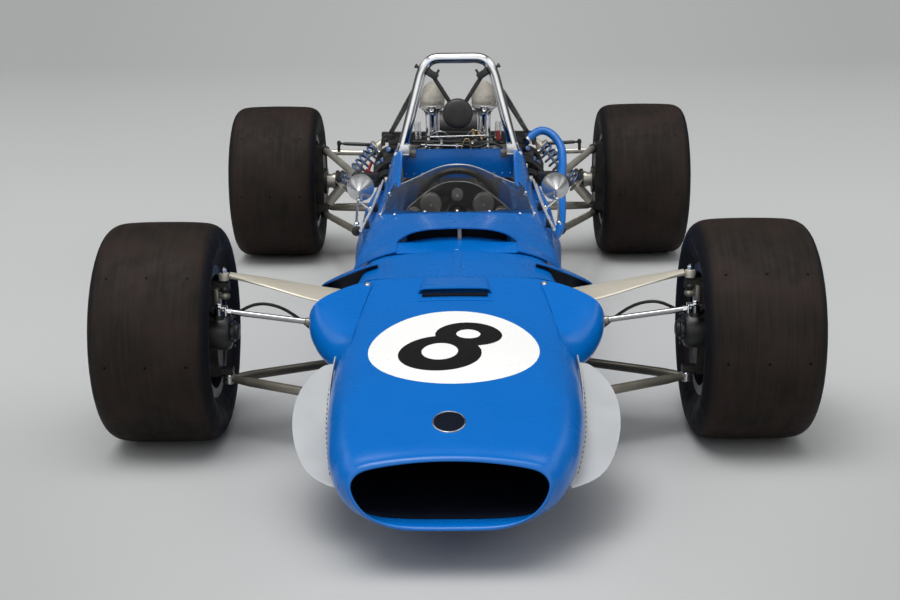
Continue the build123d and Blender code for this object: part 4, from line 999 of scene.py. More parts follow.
screen, screenTop, screenFoot = makeScreen()
place(screen, "chassis", "screenClear", "screen_clear", "windscreen")
place(tube("screenTopBead", screenTop, 0.0017, 3, 3, 6), "chassis", "paleMetal", "screen_clear")
place(tube("screenFootBead", screenFoot, 0.0016, 3, 3, 6), "chassis", "paleMetal", "screen_clear")


def makeScreenScrews():
    made = []
    for x, y, z in screenFoot[1::2]:
        normal = Vector((x * 1.2, -0.35, 0.8)).normalized()
        made.append(turned("screw", [(0, 0.0042), (0.0012, 0.0040), (0.0022, 0.0026)], (x, y, z + 0.010),
                           normal, 12))
    place(joined("screenScrews", made), "chassis", "paleMetal", "polished_aluminium")


makeScreenScrews()
print("windscreen made")

# tyres

# half of each section from the bead out and up to the middle of the tread: offset from the middle, radius
tyreSections = {
    "front": [(0.120, 0.172), (0.127, 0.178), (0.133, 0.192), (0.146, 0.212), (0.1555, 0.236),
              (0.1580, 0.254), (0.1555, 0.270), (0.148, 0.284), (0.136, 0.294), (0.120, 0.3000),
              (0.100, 0.3025), (0.060, 0.3042), (0.020, 0.3048)],
    "rear": [(0.150, 0.194), (0.158, 0.200), (0.166, 0.214), (0.177, 0.238), (0.1845, 0.262),
             (0.1855, 0.278), (0.183, 0.296), (0.174, 0.311), (0.160, 0.321), (0.142, 0.3270),
             (0.120, 0.3290), (0.075, 0.3308), (0.025, 0.3318)],
}


def makeTyre(axle, axleY, radius):
    half = tyreSections[axle]
    inner = half[0][1] - 0.004
    profile = [(-x, r) for x, r in half] + [(x, r) for x, r in reversed(half)]
    closed = profile + [(half[0][0], inner), (-half[0][0], inner), profile[0]]
    piece = turned(axle + "Tyre", closed, (wheelX, axleY, radius), (1, 0, 0), 96, False, 60)
    return rounded(piece, 1)


for axle, tyre in tyres.items():
    first = makeTyre(axle, tyre["y"], tyre["radius"])
    first.name = f"{axle}TyreLeft"
    second = copied(first, f"{axle}TyreRight", flip=True)
    for piece, side in ((first, "left"), (second, "right")):
        place(settle(piece, 60), f"wheel_{axle}_{side}", tyre["finish"], "tyre", f"tyre_{axle}_{side}")
print("tyres made")

# roll hoop

# half of the hoop from the top's middle to the foot: x, y from the hoop's plane, height
hoop = {"tube": 0.019, "legX": 0.139, "legZ": 0.871, "legLean": 0.259,
        "half": [(0.0, 0, 0.9445), (0.034, 0, 0.9445), (0.080, 0, 0.9445), (0.107, 0, 0.933),
                 (0.130, -0.001, 0.899), (0.144, -0.003, 0.850), (0.175, -0.010, 0.730),
                 (0.223, -0.020, 0.553)]}


def makeHoop():
    half = [(x, hoopY + dy, z) for x, dy, z in hoop["half"]]
    route = [(-x, y, z) for x, y, z in reversed(half[1:])] + half
    return tube("rollHoopTube", route, hoop["tube"], 3, 8, 14)


place(makeHoop(), "chassis", "chrome", "chrome", "roll_hoop")
print("hoop made")


def hoopX(z):
    # middle of the hoop's leg at a height
    return hoop["legX"] + (hoop["legZ"] - z) * hoop["legLean"]


def leaned(piece, middle, angle, axis="Y"):
    # the part turned about its own middle
    spot = Matrix.Translation(Vector(middle))
    piece.data.transform(spot @ Matrix.Rotation(angle, 4, axis) @ spot.inverted())
    return piece


def makeHoopFittings():
    # side tab with its bolt, near the top bend
    parts = [bar("tab", (0.128, hoopY, 0.903), (0.152, hoopY + 0.004, 0.917), 0.006),
             turned("tabHead", [(0, 0.0075), (0.001, 0.009), (0.006, 0.009), (0.007, 0.0075)],
                    (0.149, hoopY + 0.004, 0.9155), (1, 0, 0.5), 6)]
    place(bothSides("hoopTabs", parts), "chassis", "blackMetal", "black_metal")
    # feet: a sleeve round the tube and a bright folded bracket under it
    foot = Vector((hoopX(0.635), hoopY - 0.014, 0.635))
    way = Vector((0.26, -0.03, -1)).normalized()
    parts = [turned("sleeve", [(0, 0.0185), (0.002, 0.0205), (0.040, 0.0205), (0.042, 0.0185)], foot, way,
                    32),
             block("footPlate", (foot.x - 0.020, hoopY - 0.045, 0.5945),
                   (foot.x + 0.036, hoopY + 0.028, 0.6005), 0.0015),
             block("footWeb", (foot.x - 0.021, hoopY - 0.042, 0.597),
                   (foot.x - 0.017, hoopY + 0.020, 0.634), 0.001),
             block("footFace", (foot.x - 0.020, hoopY - 0.044, 0.597),
                   (foot.x + 0.012, hoopY - 0.040, 0.632), 0.001)]
    for dy in (-0.036, 0.018):
        parts.append(turned("footBolt", [(0, 0.006), (0.004, 0.006), (0.005, 0.005)],
                            (foot.x + 0.026, hoopY + dy, 0.6), (0, 0, 1), 6))
    place(bothSides("hoopFeet", parts), "chassis", "paleMetal", "polished_aluminium")
    # braces, each with a fork end and a lock nut at the hoop
    top = Vector((0.150, hoopY + 0.014, 0.844))
    low = Vector((0.300, rearAxleY - 0.098, 0.552))
    along = (low - top).normalized()
    length = (low - top).length
    taper = [(0.004, 0.004), (0.012, 0.0075), (0.04, 0.0100), (0.30, 0.0112), (length - 0.05, 0.0100),
             (length - 0.012, 0.0075), (length, 0.005)]
    parts = [turned("brace", taper, top, along, 20, True, 50),
             turned("lockNut", [(0.026, 0.0115), (0.035, 0.0115)], top, along, 6),
             block("fork", (0.140, hoopY + 0.004, 0.832), (0.160, hoopY + 0.030, 0.856), 0.003)]
    place(bothSides("hoopBraces", parts), "chassis", "blackMetal", "black_metal", "hoop_braces")


makeHoopFittings()

# the clamps lean with the hoop's corners, in degrees
headrest = {"middle": (0, hoopY - 0.052, 0.746), "radius": 0.056, "clampLean": -32}


def makeHeadrest():
    x, y, z = headrest["middle"]
    r = headrest["radius"]
    pad = turned("headrestPad", [(0, r * 0.35), (0.0006, r * 0.62), (0.003, r * 0.84), (0.008, r * 0.955),
                                 (0.016, r * 0.995), (0.022, r), (0.0245, r * 0.985), (0.0255, r * 0.995),
                                 (0.0275, r * 0.985), (0.031, r * 0.93), (0.032, r * 0.86)],
                 (x, y - 0.003, z), (0, 1, 0), 48, True, 60)
    place(rounded(pad, 1), "chassis", "blackTrim", "black_trim", "headrest")
    low = Vector((0.014, y + 0.026, 0.764))
    high = Vector((0.110, hoopY - 0.008, 0.913))
    middle = (0.091, hoopY - 0.012, 0.886)
    lean = radians(headrest["clampLean"])
    parts = [turned("strut", [(0, 0.0068), (0.002, 0.0078), ((high - low).length, 0.0078)], low, high - low,
                    18),
             leaned(block("clamp", (0.070, hoopY - 0.027, 0.874), (0.112, hoopY + 0.006, 0.898), 0.003),
                    middle, lean),
             leaned(turned("clampBolt", [(-0.014, 0.005), (0.014, 0.005), (0.015, 0.0035)],
                           (0.080, hoopY - 0.012, 0.899), (0, 0, 1), 6), middle, lean)]
    # plate that carries the pad
    parts.append(block("padPlate", (-0.026, y + 0.0275, 0.735), (0.026, y + 0.034, 0.786), 0.002))
    frameParts = joined("headrestFrame", parts + [copied(part, "other", flip=True) for part in parts])
    place(frameParts, "chassis", "blackMetal", "black_metal")


makeHeadrest()
print("headrest and hoop fittings made")

# intake trumpets with gauze domes

trumpet = {"x": 0.100, "firstY": bulkheadY + 0.110, "pitch": 0.104, "count": 4, "bell": 0.0470,
           "tube": 0.0235, "top": 0.747, "foot": 0.585}


def makeTrumpets():
    top, foot = trumpet["top"], trumpet["foot"]
    throat, bell = trumpet["tube"], trumpet["bell"]
    height = top - foot
    tubeProfile = [(0, throat + 0.004), (0.004, throat + 0.006), (0.012, throat + 0.006),
                   (0.013, throat + 0.001), (0.05, throat), (height - 0.034, throat),
                   (height - 0.022, throat + 0.002), (height - 0.013, throat + 0.008),
                   (height - 0.006, throat + 0.016), (height - 0.002, bell - 0.003), (height + 0.001, bell),
                   (height + 0.004, bell), (height + 0.005, bell - 0.002)]
    one = turned("trumpet", tubeProfile, (trumpet["x"], trumpet["firstY"], foot), (0, 0, 1), 40, True, 50)
    r = bell - 0.0015
    domeProfile = [(0.003, r), (0.011, r * 1.01), (0.013, r * 0.975), (0.015, r * 1.0), (0.026, r * 0.985),
                   (0.036, r * 0.945), (0.038, r * 0.915), (0.040, r * 0.92), (0.050, r * 0.81),
                   (0.060, r * 0.62), (0.067, r * 0.40), (0.071, r * 0.20), (0.072, r * 0.06)]
    dome = turned("dome", domeProfile, (trumpet["x"], trumpet["firstY"], top), (0, 0, 1), 36, True, 70)
    band = turned("band", [(-0.001, r + 0.0025), (0.006, r + 0.003), (0.0075, r + 0.001)],
                  (trumpet["x"], trumpet["firstY"], top + 0.001), (0, 0, 1), 36)
    tubes, domes, bands = [], [], []
    for n in range(trumpet["count"]):
        move = (0, n * trumpet["pitch"], 0)
        tubes.append(copied(one, "trumpet", move))
        domes.append(copied(dome, "dome", move))
        bands.append(copied(band, "band", move))
    for piece in (one, dome, band):
        bpy.data.objects.remove(piece)
    rail = block("rail", (0.062, bulkheadY + 0.056, 0.562), (0.138, bulkheadY + 0.470, 0.586), 0.004)
    ports = [turned("port", [(0, 0.024), (0.11, 0.024)],
                    (trumpet["x"], trumpet["firstY"] + n * trumpet["pitch"], 0.455))
             for n in range(trumpet["count"])]
    place(bothSides("intakeTrumpets", tubes), "chassis", "chrome", "chrome", "intake_trumpets")
    place(bothSides("trumpetDomes", domes), "chassis", "gauze", "mesh_beige", "trumpet_screens")
    place(bothSides("domeBands", bands), "chassis", "steelBright", "chrome")
    place(bothSides("throttleBodies", [rail] + ports), "chassis", "castAlloy", "cast_alloy")


makeTrumpets()
print("trumpets made")

# mirrors

mirror = {"middle": (0.331, frontAxleY + 0.950, 0.546), "radius": 0.047}


def makeMirrors():
    x, y, z = mirror["middle"]
    r = mirror["radius"]
    shares = ((0, 0.03), (0.004, 0.14), (0.012, 0.27), (0.028, 0.49), (0.048, 0.74), (0.066, 0.915),
              (0.077, 0.984), (0.082, 1.0), (0.084, 0.99), (0.0835, 0.94))
    profile = [(along, r * share) for along, share in shares]
    bowl = turned("mirrorBowl", profile, (x, y - 0.084, z), (0, 1, 0), 40, True, 50)
    feet = [(0.296, y - 0.050, 0.482), (0.334, y - 0.168, 0.452)]
    bends = [(x - 0.012, y - 0.034, z - 0.058), (x + 0.008, y - 0.09, z - 0.075)]
    stays = [tube("stay", [(x + 0.006, y - 0.022, z - 0.034), bend, foot], 0.0042)
             for bend, foot in zip(bends, feet)]
    for foot in feet:
        stays.append(turned("stayFoot", [(-0.004, 0.009), (0.002, 0.010), (0.006, 0.006)], foot,
                            (0.5, 0, 1), 16))
    boss = turned("boss", [(0, 0.009), (0.010, 0.0085), (0.012, 0.006)], (x + 0.005, y - 0.030, z - 0.040),
                  (0, 0.25, 1), 16)
    place(bothSides("mirrorBowls", [bowl]), "chassis", "mirrorBowl", "polished_aluminium", "mirrors")
    place(bothSides("mirrorStays", stays + [boss]), "chassis", "chrome", "chrome")
    glass = turned("glass", [(0, r * 0.92), (0.0008, r * 0.91)], (x, y - 0.0012, z), (0, 1, 0), 40)
    place(bothSides("mirrorGlasses", [glass]), "chassis", "mirrorGlass", "chrome")


makeMirrors()
print("mirrors made")

# nose details: air outlet, oval plate, quick fasteners and rivets


def onNose(x, y):
    return dropOn(noseShell, x, frontAxleY + y)


def makeFastener(name, spot, radius=0.009):
    # slotted quarter-turn fastener in a shallow cup
    point, normal = spot
    ringPart = turned("cup",
                      [(0, radius), (0.0016, radius * 0.98), (0.0020, radius * 0.8),
                       (0.0010, radius * 0.72)], point - normal * 0.0004, normal, 24)
    head = turned("head", [(0, radius * 0.62), (0.0016, radius * 0.60), (0.0022, radius * 0.5)],
                  point - normal * 0.0002, normal, 20)
    side = normal.cross(Vector((0, 1, 0))).normalized()
    slot = bar("slot", point + normal * 0.0019 - side * radius * 0.5,
               point + normal * 0.0019 + side * radius * 0.5, 0.0009, 0.0002, 6)
    return joined(name, [ringPart, head, slot])


def ovalPart(name, profile, spot, finish, slotName):
    # a round part stretched lengthwise and laid on the nose
    point, normal = spot
    part = turned(name, profile, count=48)
    part.data.transform(Matrix.Diagonal((1, 1.12, 1, 1)))
    part.data.transform(Matrix.Translation(point) @ turnTo(normal))
    place(part, "chassis", finish, slotName)


# the air outlet on the nose's top: y of the slot from the front axle, half width, middle
outlet = {"y": -0.100, "half": 0.097, "middle": -0.004}


def makeNoseDetails():
    spots = [dropOn(ears, x, frontAxleY - 0.026) for x in (-0.243, 0.239)]
    spots += [onNose(-0.002, -0.006), dropOn(ledge, 0.0, frontAxleY + 0.228)]
    fasteners = [makeFastener(f"fastener{n}", spot) for n, spot in enumerate(spots) if spot]
    place(joined("bodyFasteners", fasteners), "chassis", "steelBright", "polished_aluminium")
    # a blue raised hood behind the dark slot, as wide as the slot
    y0, half, middle = outlet["y"], outlet["half"], outlet["middle"]
    rows = []
    for dy, rise in ((0.098, 0.0004), (0.094, 0.0022), (0.070, 0.0050), (0.040, 0.0085), (0.014, 0.0118),
                     (0.008, 0.0122), (0.004, 0.0116)):
        row = []
        for share in (-1.0, -0.97, -0.9, -0.7, -0.35, 0, 0.35, 0.7, 0.9, 0.97, 1.0):
            x = share * (half - 0.012 * dy / 0.098) + middle
            point = onNose(x, y0 + dy)[0]
            lift = rise * (0.05 if abs(share) == 1 else 0.75 if abs(share) == 0.97 else 1)
            row.append((x, point.y, point.z + lift))
        rows.append(row)
    hood = skin("outletHood", rows, 2, 0.003)
    place(hood, "chassis", "bodyBlue", "body_blue")
    low = onNose(0, y0)[0].z
    # a black block in the slot: painted shade in the outlet's opening
    dark = block("outletDark", (-0.092, frontAxleY + y0 - 0.017, low - 0.014),
                 (0.084, frontAxleY + y0 + 0.010, low + 0.0030), 0.003)
    place(dark, "chassis", "blackAndShade", "black_rubber")
    lip = []
    for dy, rise in ((-0.042, -0.0006), (-0.036, 0.0012), (-0.022, 0.0004), (-0.018, -0.006)):
        row = []
        for share in (-1, -0.96, -0.8, -0.4, 0, 0.4, 0.8, 0.96, 1):
            x = share * half + middle
            point = onNose(x, y0 + dy)[0]
            row.append((x, point.y, point.z + rise))
        lip.append(row)
    place(skin("outletLip", lip, 1, -0.002), "chassis", "bodyBlue", "body_blue")
    # bare oval plate with a raised rim
    plateSpot = onNose(-0.014, -0.776)
    ovalPart("ovalPlate", [(-0.001, 0.0375), (0.0016, 0.0375), (0.0028, 0.0362), (0.0024, 0.0345),
                           (0.0014, 0.0340), (0.0014, 0.012)], plateSpot, "steelBright", "chrome")
    ovalPart("ovalFace", [(0.0014, 0.0346), (0.0022, 0.0338), (0.0024, 0.02)], plateSpot, "blackAndShade",
             "black_metal")


makeNoseDetails()


def makeCoverRivets():
    spots = []
    for x in evenly(-0.236, 0.236, 27):
        spots.append(dropOn(frontCover, x, frontAxleY + 0.024))
        if abs(x) < 0.20:
            spots.append(dropOn(frontCover, x, frontAxleY + 0.205))
    for y in evenly(0.040, 0.190, 9):
        for x in (-0.0115, 0.0115, -0.190, -0.205, 0.190, 0.205):
            spots.append(dropOn(frontCover, x, frontAxleY + y))
    # the rivet heads are painted a darker blue than the cover: painted shade
    place(rivetField("coverRivets", spots, 0.0030, 0.0014), "chassis", "rivetShadeBlue", "body_blue")


makeCoverRivets()
print("nose details made")

# canards: flanged sheet fins

finPlane = {"through": (0.268, -0.800, 0.160), "normal": (0.0717, -0.3060, 0.9493)}
# outer edge of the fin in plan, from the nose's tip back: x, y from the front axle
finEdge = [(0.258, -0.803), (0.279, -0.792), (0.315, -0.768), (0.342, -0.737), (0.366, -0.684),
           (0.3855, -0.612), (0.3950, -0.550), (0.3965, -0.490), (0.389, -0.430), (0.368, -0.373),
           (0.345, -0.342), (0.333, -0.332)]


def finHeight(x, y):
    px, py, pz = finPlane["through"]
    nx, ny, nz = finPlane["normal"]
    return pz - (nx * (x - px) + ny * (y - py)) / nz


def makeFin(side):
    # a flat sheet with a flange turned up against the nose
    rows = []
    for x, y in finEdge:
        edge = Vector((side * x, frontAxleY + y, finHeight(x, y)))
        found, inner, normal, _ = noseShell.ray_cast(Vector((side * 0.9, edge.y, edge.z + 0.004)),
                                                     Vector((-side, 0, 0)))
        inner.x = side * min(abs(inner.x), x - 0.004)
        row = [inner + Vector((side * 0.0030, 0, 0.024)), inner + Vector((side * 0.0022, 0, 0.004)),
               inner + Vector((side * 0.006, 0, 0))]
        for part in (0.3, 0.65, 0.93, 1.0):
            row.append(row[2].lerp(edge, part))
        rows.append([tuple(dot) for dot in row])
    fin = skin("fin", rows, 1, 0.0022 * side)
    spots = []
    for y in evenly(-0.768, -0.385, 22):
        x = onTable([(b, a) for a, b in finEdge], y)[0]
        spots.append(pressOn(noseShell, frontAxleY + y, finHeight(x * 0.8, y) + 0.014, side))
    spots = [(point + normal * 0.0042, normal) for point, normal in spots]
    return fin, rivetField("finRivets", spots, 0.0036, 0.0016)


def makeCanards():
    fins = [makeFin(side) for side in (1, -1)]
    place(joined("canardSheets", [fin for fin, rivets in fins]), "chassis", "finAluminium",
          "polished_aluminium", "canards")
    place(joined("canardRivets", [rivets for fin, rivets in fins]), "chassis", "blackMetal",
          "polished_aluminium")


makeCanards()
print("canards made")

# firewall behind the driver, dash and instruments


def makeFirewall():
    y = bulkheadY - 0.030
    rows = []
    for z, half in ((0.500, 0.206), (0.540, 0.207), (0.585, 0.208), (0.601, 0.208), (0.6035, 0.208)):
        back = 0.0 if z < 0.6 else 0.004
        rows.append([(half * share, y + back, z) for share in (-1, -0.5, 0, 0.5, 1)])
    for back in (0.010, 0.030):
        rows.append([(0.208 * share, y + back, 0.6035) for share in (-1, -0.5, 0, 0.5, 1)])
    panel = skin("firewall", rows, 0, 0.003, angle=30)
    place(panel, "chassis", "bodyBlue", "body_blue")
    spots = [(Vector((x, y, 0.515)), Vector((0, -1, 0))) for x in evenly(-0.195, 0.195, 14)]
    place(rivetField("firewallRivets", spots, 0.003, 0.0012), "chassis", "steelBright",
          "polished_aluminium")


makeFirewall()

# the hump's outline: x and height from the crown to the foot; dials: x, height, radius
dashPlan = {"y": frontAxleY + 0.690, "level": 0.500, "marks": 11,
            "hump": [(0.0, 0.606), (0.03, 0.604), (0.060, 0.595), (0.092, 0.576), (0.130, 0.546),
                     (0.160, 0.520), (0.173, 0.498), (0.174, 0.448)],
            "dials": [(-0.084, 0.536, 0.035), (0.084, 0.536, 0.035), (-0.140, 0.498, 0.026),
                      (0.140, 0.498, 0.026), (0.0, 0.566, 0.019)]}


def dashRow(dy, scale):
    # the panel's outline from one foot over the hump to the other
    half, level = dashPlan["hump"], dashPlan["level"]
    whole = list(reversed(half)) + [(-x, z) for x, z in half[1:]]
    return [(x * scale, dashPlan["y"] + dy, level + (z - level) * scale) for x, z in whole]


def makeDash():
    y = dashPlan["y"]
    rows = [dashRow(dy, scale) for dy, scale in ((0.0, 0.30), (0.0, 0.94), (0.0, 1.0), (0.004, 1.004),
                                                 (0.030, 1.01), (0.034, 1.0), (0.030, 0.985))]
    panel = skin("dashPanel", rows, 1, 0.0, angle=50)
    place(panel, "chassis", "dashBlack", "dash_black", "dash")
    bodies, rims, faces, marks = [], [], [], []
    for x, z, r in dashPlan["dials"]:
        bodies.append(turned("can",
                             [(0, r * 0.45), (0.001, r * 0.9), (0.004, r * 0.98), (0.030, r), (0.038, r)],
                             (x, y - 0.037, z), (0, 1, 0), 32))
        rims.append(turned("bezel",
                           [(0, r * 1.05), (0.003, r * 1.08), (0.007, r * 1.02), (0.0075, r * 0.93),
                            (0.004, r * 0.90)], (x, y + 0.0005, z), (0, 1, 0), 36, False))
        rims.append(turned("nutCap", [(-0.006, 0.004), (0, 0.0045)], (x, y - 0.036, z), (0, 1, 0), 6))
        faces.append(turned("face", [(0, r * 0.92), (0.002, r * 0.91), (0.0022, r * 0.5)],
                            (x, y + 0.001, z), (0, 1, 0), 32))
        for n in range(dashPlan["marks"]):
            angle = radians(220 - n * 26)
            middle = Vector((x + cos(angle) * r * 0.78, y + 0.0036, z + sin(angle) * r * 0.78))
            reach = Vector((cos(angle), 0, sin(angle))) * r * 0.09
            marks.append(bar("mark", middle - reach, middle + reach, 0.0006, 0.0001, 5))
        marks.append(bar("needle", (x, y + 0.0042, z), (x - r * 0.5, y + 0.0042, z - r * 0.45), 0.0008,
                         0.0001, 5))
    place(joined("gaugeCans", bodies), "chassis", "greyMetal", "black_metal")
    place(joined("gaugeRims", rims), "chassis", "paleMetal", "chrome")
    place(tube("dashBead", dashRow(-0.001, 1.004), 0.0014, 3, 3, 6), "chassis", "paleMetal", "chrome")
    place(joined("gaugeFaces", faces), "chassis", "dialFace", "dash_black")
    place(joined("gaugeMarks", marks), "chassis", "paleMark", "polished_aluminium")


makeDash()
print("firewall and dash made")

# front suspension: y from the front axle throughout

# upper arm: x, front edge, rear edge, middle height
armRows = [
    (0.296, -0.106, 0.074, 0.400), (0.330, -0.105, 0.070, 0.406), (0.397, -0.098, 0.060, 0.419),
    (0.450, -0.079, 0.050, 0.431), (0.520, -0.052, 0.037, 0.446), (0.590, -0.027, 0.023, 0.459),
    (0.622, -0.017, 0.016, 0.464),
]
kingpin = {"x": 0.640, "upper": 0.455, "lower": 0.168, "rackY": -0.100, "rodZ": 0.390}


def armSection(x, lead, trail, z):
    # lens-shaped sheet section with rolled edges
    middle = (lead + trail) / 2
    quarter = (trail - lead) / 4
    loop = [(lead, -0.004), (lead, 0.003), (middle - quarter, 0.008), (middle, 0.0095),
            (middle + quarter, 0.008), (trail, 0.003), (trail, -0.004), (middle + quarter, -0.0075),
            (middle, -0.0085), (middle - quarter, -0.0075), (lead, -0.004)]
    return [(x, frontAxleY + y, z + up) for y, up in loop]


def makeFrontArms():
    x, upper, lower = kingpin["x"], kingpin["upper"], kingpin["lower"]
    arm = skin("upperArm", [armSection(*row) for row in armRows], 0, ring=True)
    pick(arm)
    bpy.ops.object.mode_set(mode="EDIT")
    bpy.ops.mesh.select_all(action="DESELECT")
    bpy.ops.mesh.select_non_manifold()
    bpy.ops.mesh.fill()
    bpy.ops.object.mode_set(mode="OBJECT")
    rounded(arm, 1)
    cup = turned("armCup", [(0, 0.010), (0.002, 0.0145), (0.018, 0.0155), (0.022, 0.0135), (0.024, 0.008)],
                 (x, frontAxleY, upper - 0.006), count=24)
    place(bothSides("upperArms", [settle(arm, 50), cup]), "chassis", "champagne", "satin_nickel",
          "front_arms")
    joint = Vector((x, frontAxleY, lower))
    frontFoot = Vector((0.180, frontAxleY - 0.228, 0.158))
    rearFoot = Vector((0.205, frontAxleY + 0.258, 0.158))
    # the rear leg takes a darker copy of the front leg's nickel: painted shade on the rear leg
    for name, foot, finish in (("lowerArmFront", frontFoot, "oldNickel"),
                               ("lowerArmRear", rearFoot, "shadedNickel")):
        way = (foot - joint).normalized()
        length = (foot - joint).length - 0.02
        leg = turned(name, [(0.012, 0.008), (0.03, 0.0105), (0.07, 0.0130), (length - 0.05, 0.0130),
                            (length, 0.0115)], joint, way, 24)
        place(bothSides(name, [leg]), "chassis", finish, "satin_nickel")
    parts = [turned("lowerCup", [(-0.015, 0.013), (-0.012, 0.017), (0.010, 0.0175), (0.013, 0.014)], joint,
                    (0, 0, 1), 24),
             turned("lowerNut", [(0.013, 0.0095), (0.020, 0.0095), (0.021, 0.008)], joint, (0, 0, 1), 6),
             turned("upperNut", [(0.018, 0.0095), (0.027, 0.0095), (0.028, 0.008)], (x, frontAxleY, upper),
                    (0, 0, 1), 6),
             turned("upperStud", [(0.027, 0.005), (0.033, 0.005)], (x, frontAxleY, upper), (0, 0, 1), 12)]
    place(bothSides("armNuts", parts), "chassis", "steelBright", "satin_nickel")


def makeKnuckles():
    # carrier body, boot and clevis that steer with each wheel
    x, hub = kingpin["x"], tyres["front"]["radius"]
    for side, name in ((1, "left"), (-1, "right")):
        parts = [turned("carrier",
                        [(0, 0.018), (0.002, 0.023), (0.010, 0.023), (0.012, 0.030), (0.020, 0.033),
                         (0.024, 0.047), (0.032, 0.052), (0.075, 0.054), (0.078, 0.048)],
                        (side * 0.604, frontAxleY, hub), (side, 0, 0), 36),
                 turned("boot",
                        [(0, 0.011), (0.003, 0.016), (0.010, 0.0175), (0.016, 0.014), (0.022, 0.0105),
                         (0.028, 0.012)], (side * x, frontAxleY, 0.4185), (0, 0, 1), 20)]
        for n in range(6):
            angle = n * pi / 3 + 0.3
            parts.append(turned("carrierBolt", [(0, 0.005), (0.006, 0.005), (0.007, 0.004)],
                                (side * 0.622, frontAxleY + cos(angle) * 0.040, hub + sin(angle) * 0.040),
                                (-side, 0, 0), 6))
        place(joined(f"carrier_{name}", parts), f"knuckle_{name}", "blackMetal", "cast_magnesium")
        ball = turned("jointBall",
                      [(0, 0.006), (0.003, 0.013), (0.010, 0.0165), (0.017, 0.013), (0.020, 0.006)],
                      (side * (x - 0.001), frontAxleY - 0.006, 0.398), (0, 0, 1), 24)
        near, far = sorted((side * 0.652, side * 0.664))
        web = block("web", (near, frontAxleY - 0.034, 0.345), (far, frontAxleY + 0.02, 0.432), 0.003)
        place(joined(f"jointBall_{name}", [rounded(ball, 1), web]), f"knuckle_{name}", "oldNickel",
              "satin_nickel")


def makeTrackRodEnds():
    # fork and bolt at the outer end, a joint at the inner end of each track rod
    x, y, z = kingpin["x"], frontAxleY + kingpin["rackY"], kingpin["rodZ"]
    parts = [block("forkTop", (x - 0.020, y - 0.014, z + 0.0085), (x + 0.016, y + 0.014, z + 0.0125),
                   0.001),
             block("forkBack", (x - 0.022, y - 0.014, z - 0.012), (x - 0.017, y + 0.014, z + 0.0125),
                   0.001),
             turned("forkBolt", [(0.012, 0.008), (0.019, 0.008), (0.020, 0.0065)], (x, y, z), (0, 0, 1), 6),
             turned("rodNut", [(0, 0.0105), (0.010, 0.0105)], (x - 0.034, y, z - 0.0045), (1, 0, 0.13), 6)]
    place(bothSides("trackRodForks", parts), "rack", "chrome", "chrome")
    inner = [turned("rodJoint", [(0, 0.009), (0.002, 0.0115), (0.012, 0.0115), (0.015, 0.009)],
                    (0.394, y, 0.3565), (1, 0, 0.14), 16)]
    place(bothSides("trackRodJoints", inner), "rack", "oldNickel", "chrome")


# brake hose: share of the way from the tub's side to the kingpin, y, height
hoseRows = [(0, 0.066, 0.262), (0.15, 0.064, 0.252), (0.30, 0.062, 0.262), (0.425, 0.060, 0.292),
            (0.525, 0.058, 0.330), (0.65, 0.056, 0.362), (0.79, 0.054, 0.372), (0.915, 0.052, 0.352),
            (1.06, 0.050, 0.316)]
hose = {"start": 0.240, "radius": 0.0045, "length": 0.470}


def makeBrakeHoses():
    for side, name in ((1, "left"), (-1, "right")):
        route = [(side * (hose["start"] + share * (kingpin["x"] - hose["start"])), frontAxleY + y, z)
                 for share, y, z in hoseRows]
        cord = line(f"brakeHose_{name}", route, hose["radius"])
        place(cord, "chassis", "blackRubber", "black_rubber", f"brake_hose_{name}")


makeFrontArms()
makeKnuckles()
makeTrackRodEnds()
makeBrakeHoses()
print("front suspension made")


# rear suspension: y from the front axle throughout

# links: name, finish, start, end, radius
rearLinks = [
    ("upperLink", "satinNickel", (0.120, 2.400, 0.449), (0.590, 2.400, 0.461), 0.0125),
    ("antiRollLink", "blackMetal", (0.372, 2.335, 0.501), (0.526, 2.335, 0.508), 0.0080),
    ("upperRadiusRod", "satinNickel", (0.384, 1.462, 0.503), (0.588, 2.345, 0.478), 0.0140),
    ("lowerRadiusRod", "oldNickel", (0.388, 1.440, 0.296), (0.596, 2.335, 0.194), 0.0140),
    ("lowerWishboneRear", "oldNickel", (0.092, 2.458, 0.214), (0.600, 2.420, 0.212), 0.0130),
    ("lowerWishboneFront", "oldNickel", (0.092, 2.292, 0.214), (0.600, 2.390, 0.212), 0.0115),
]


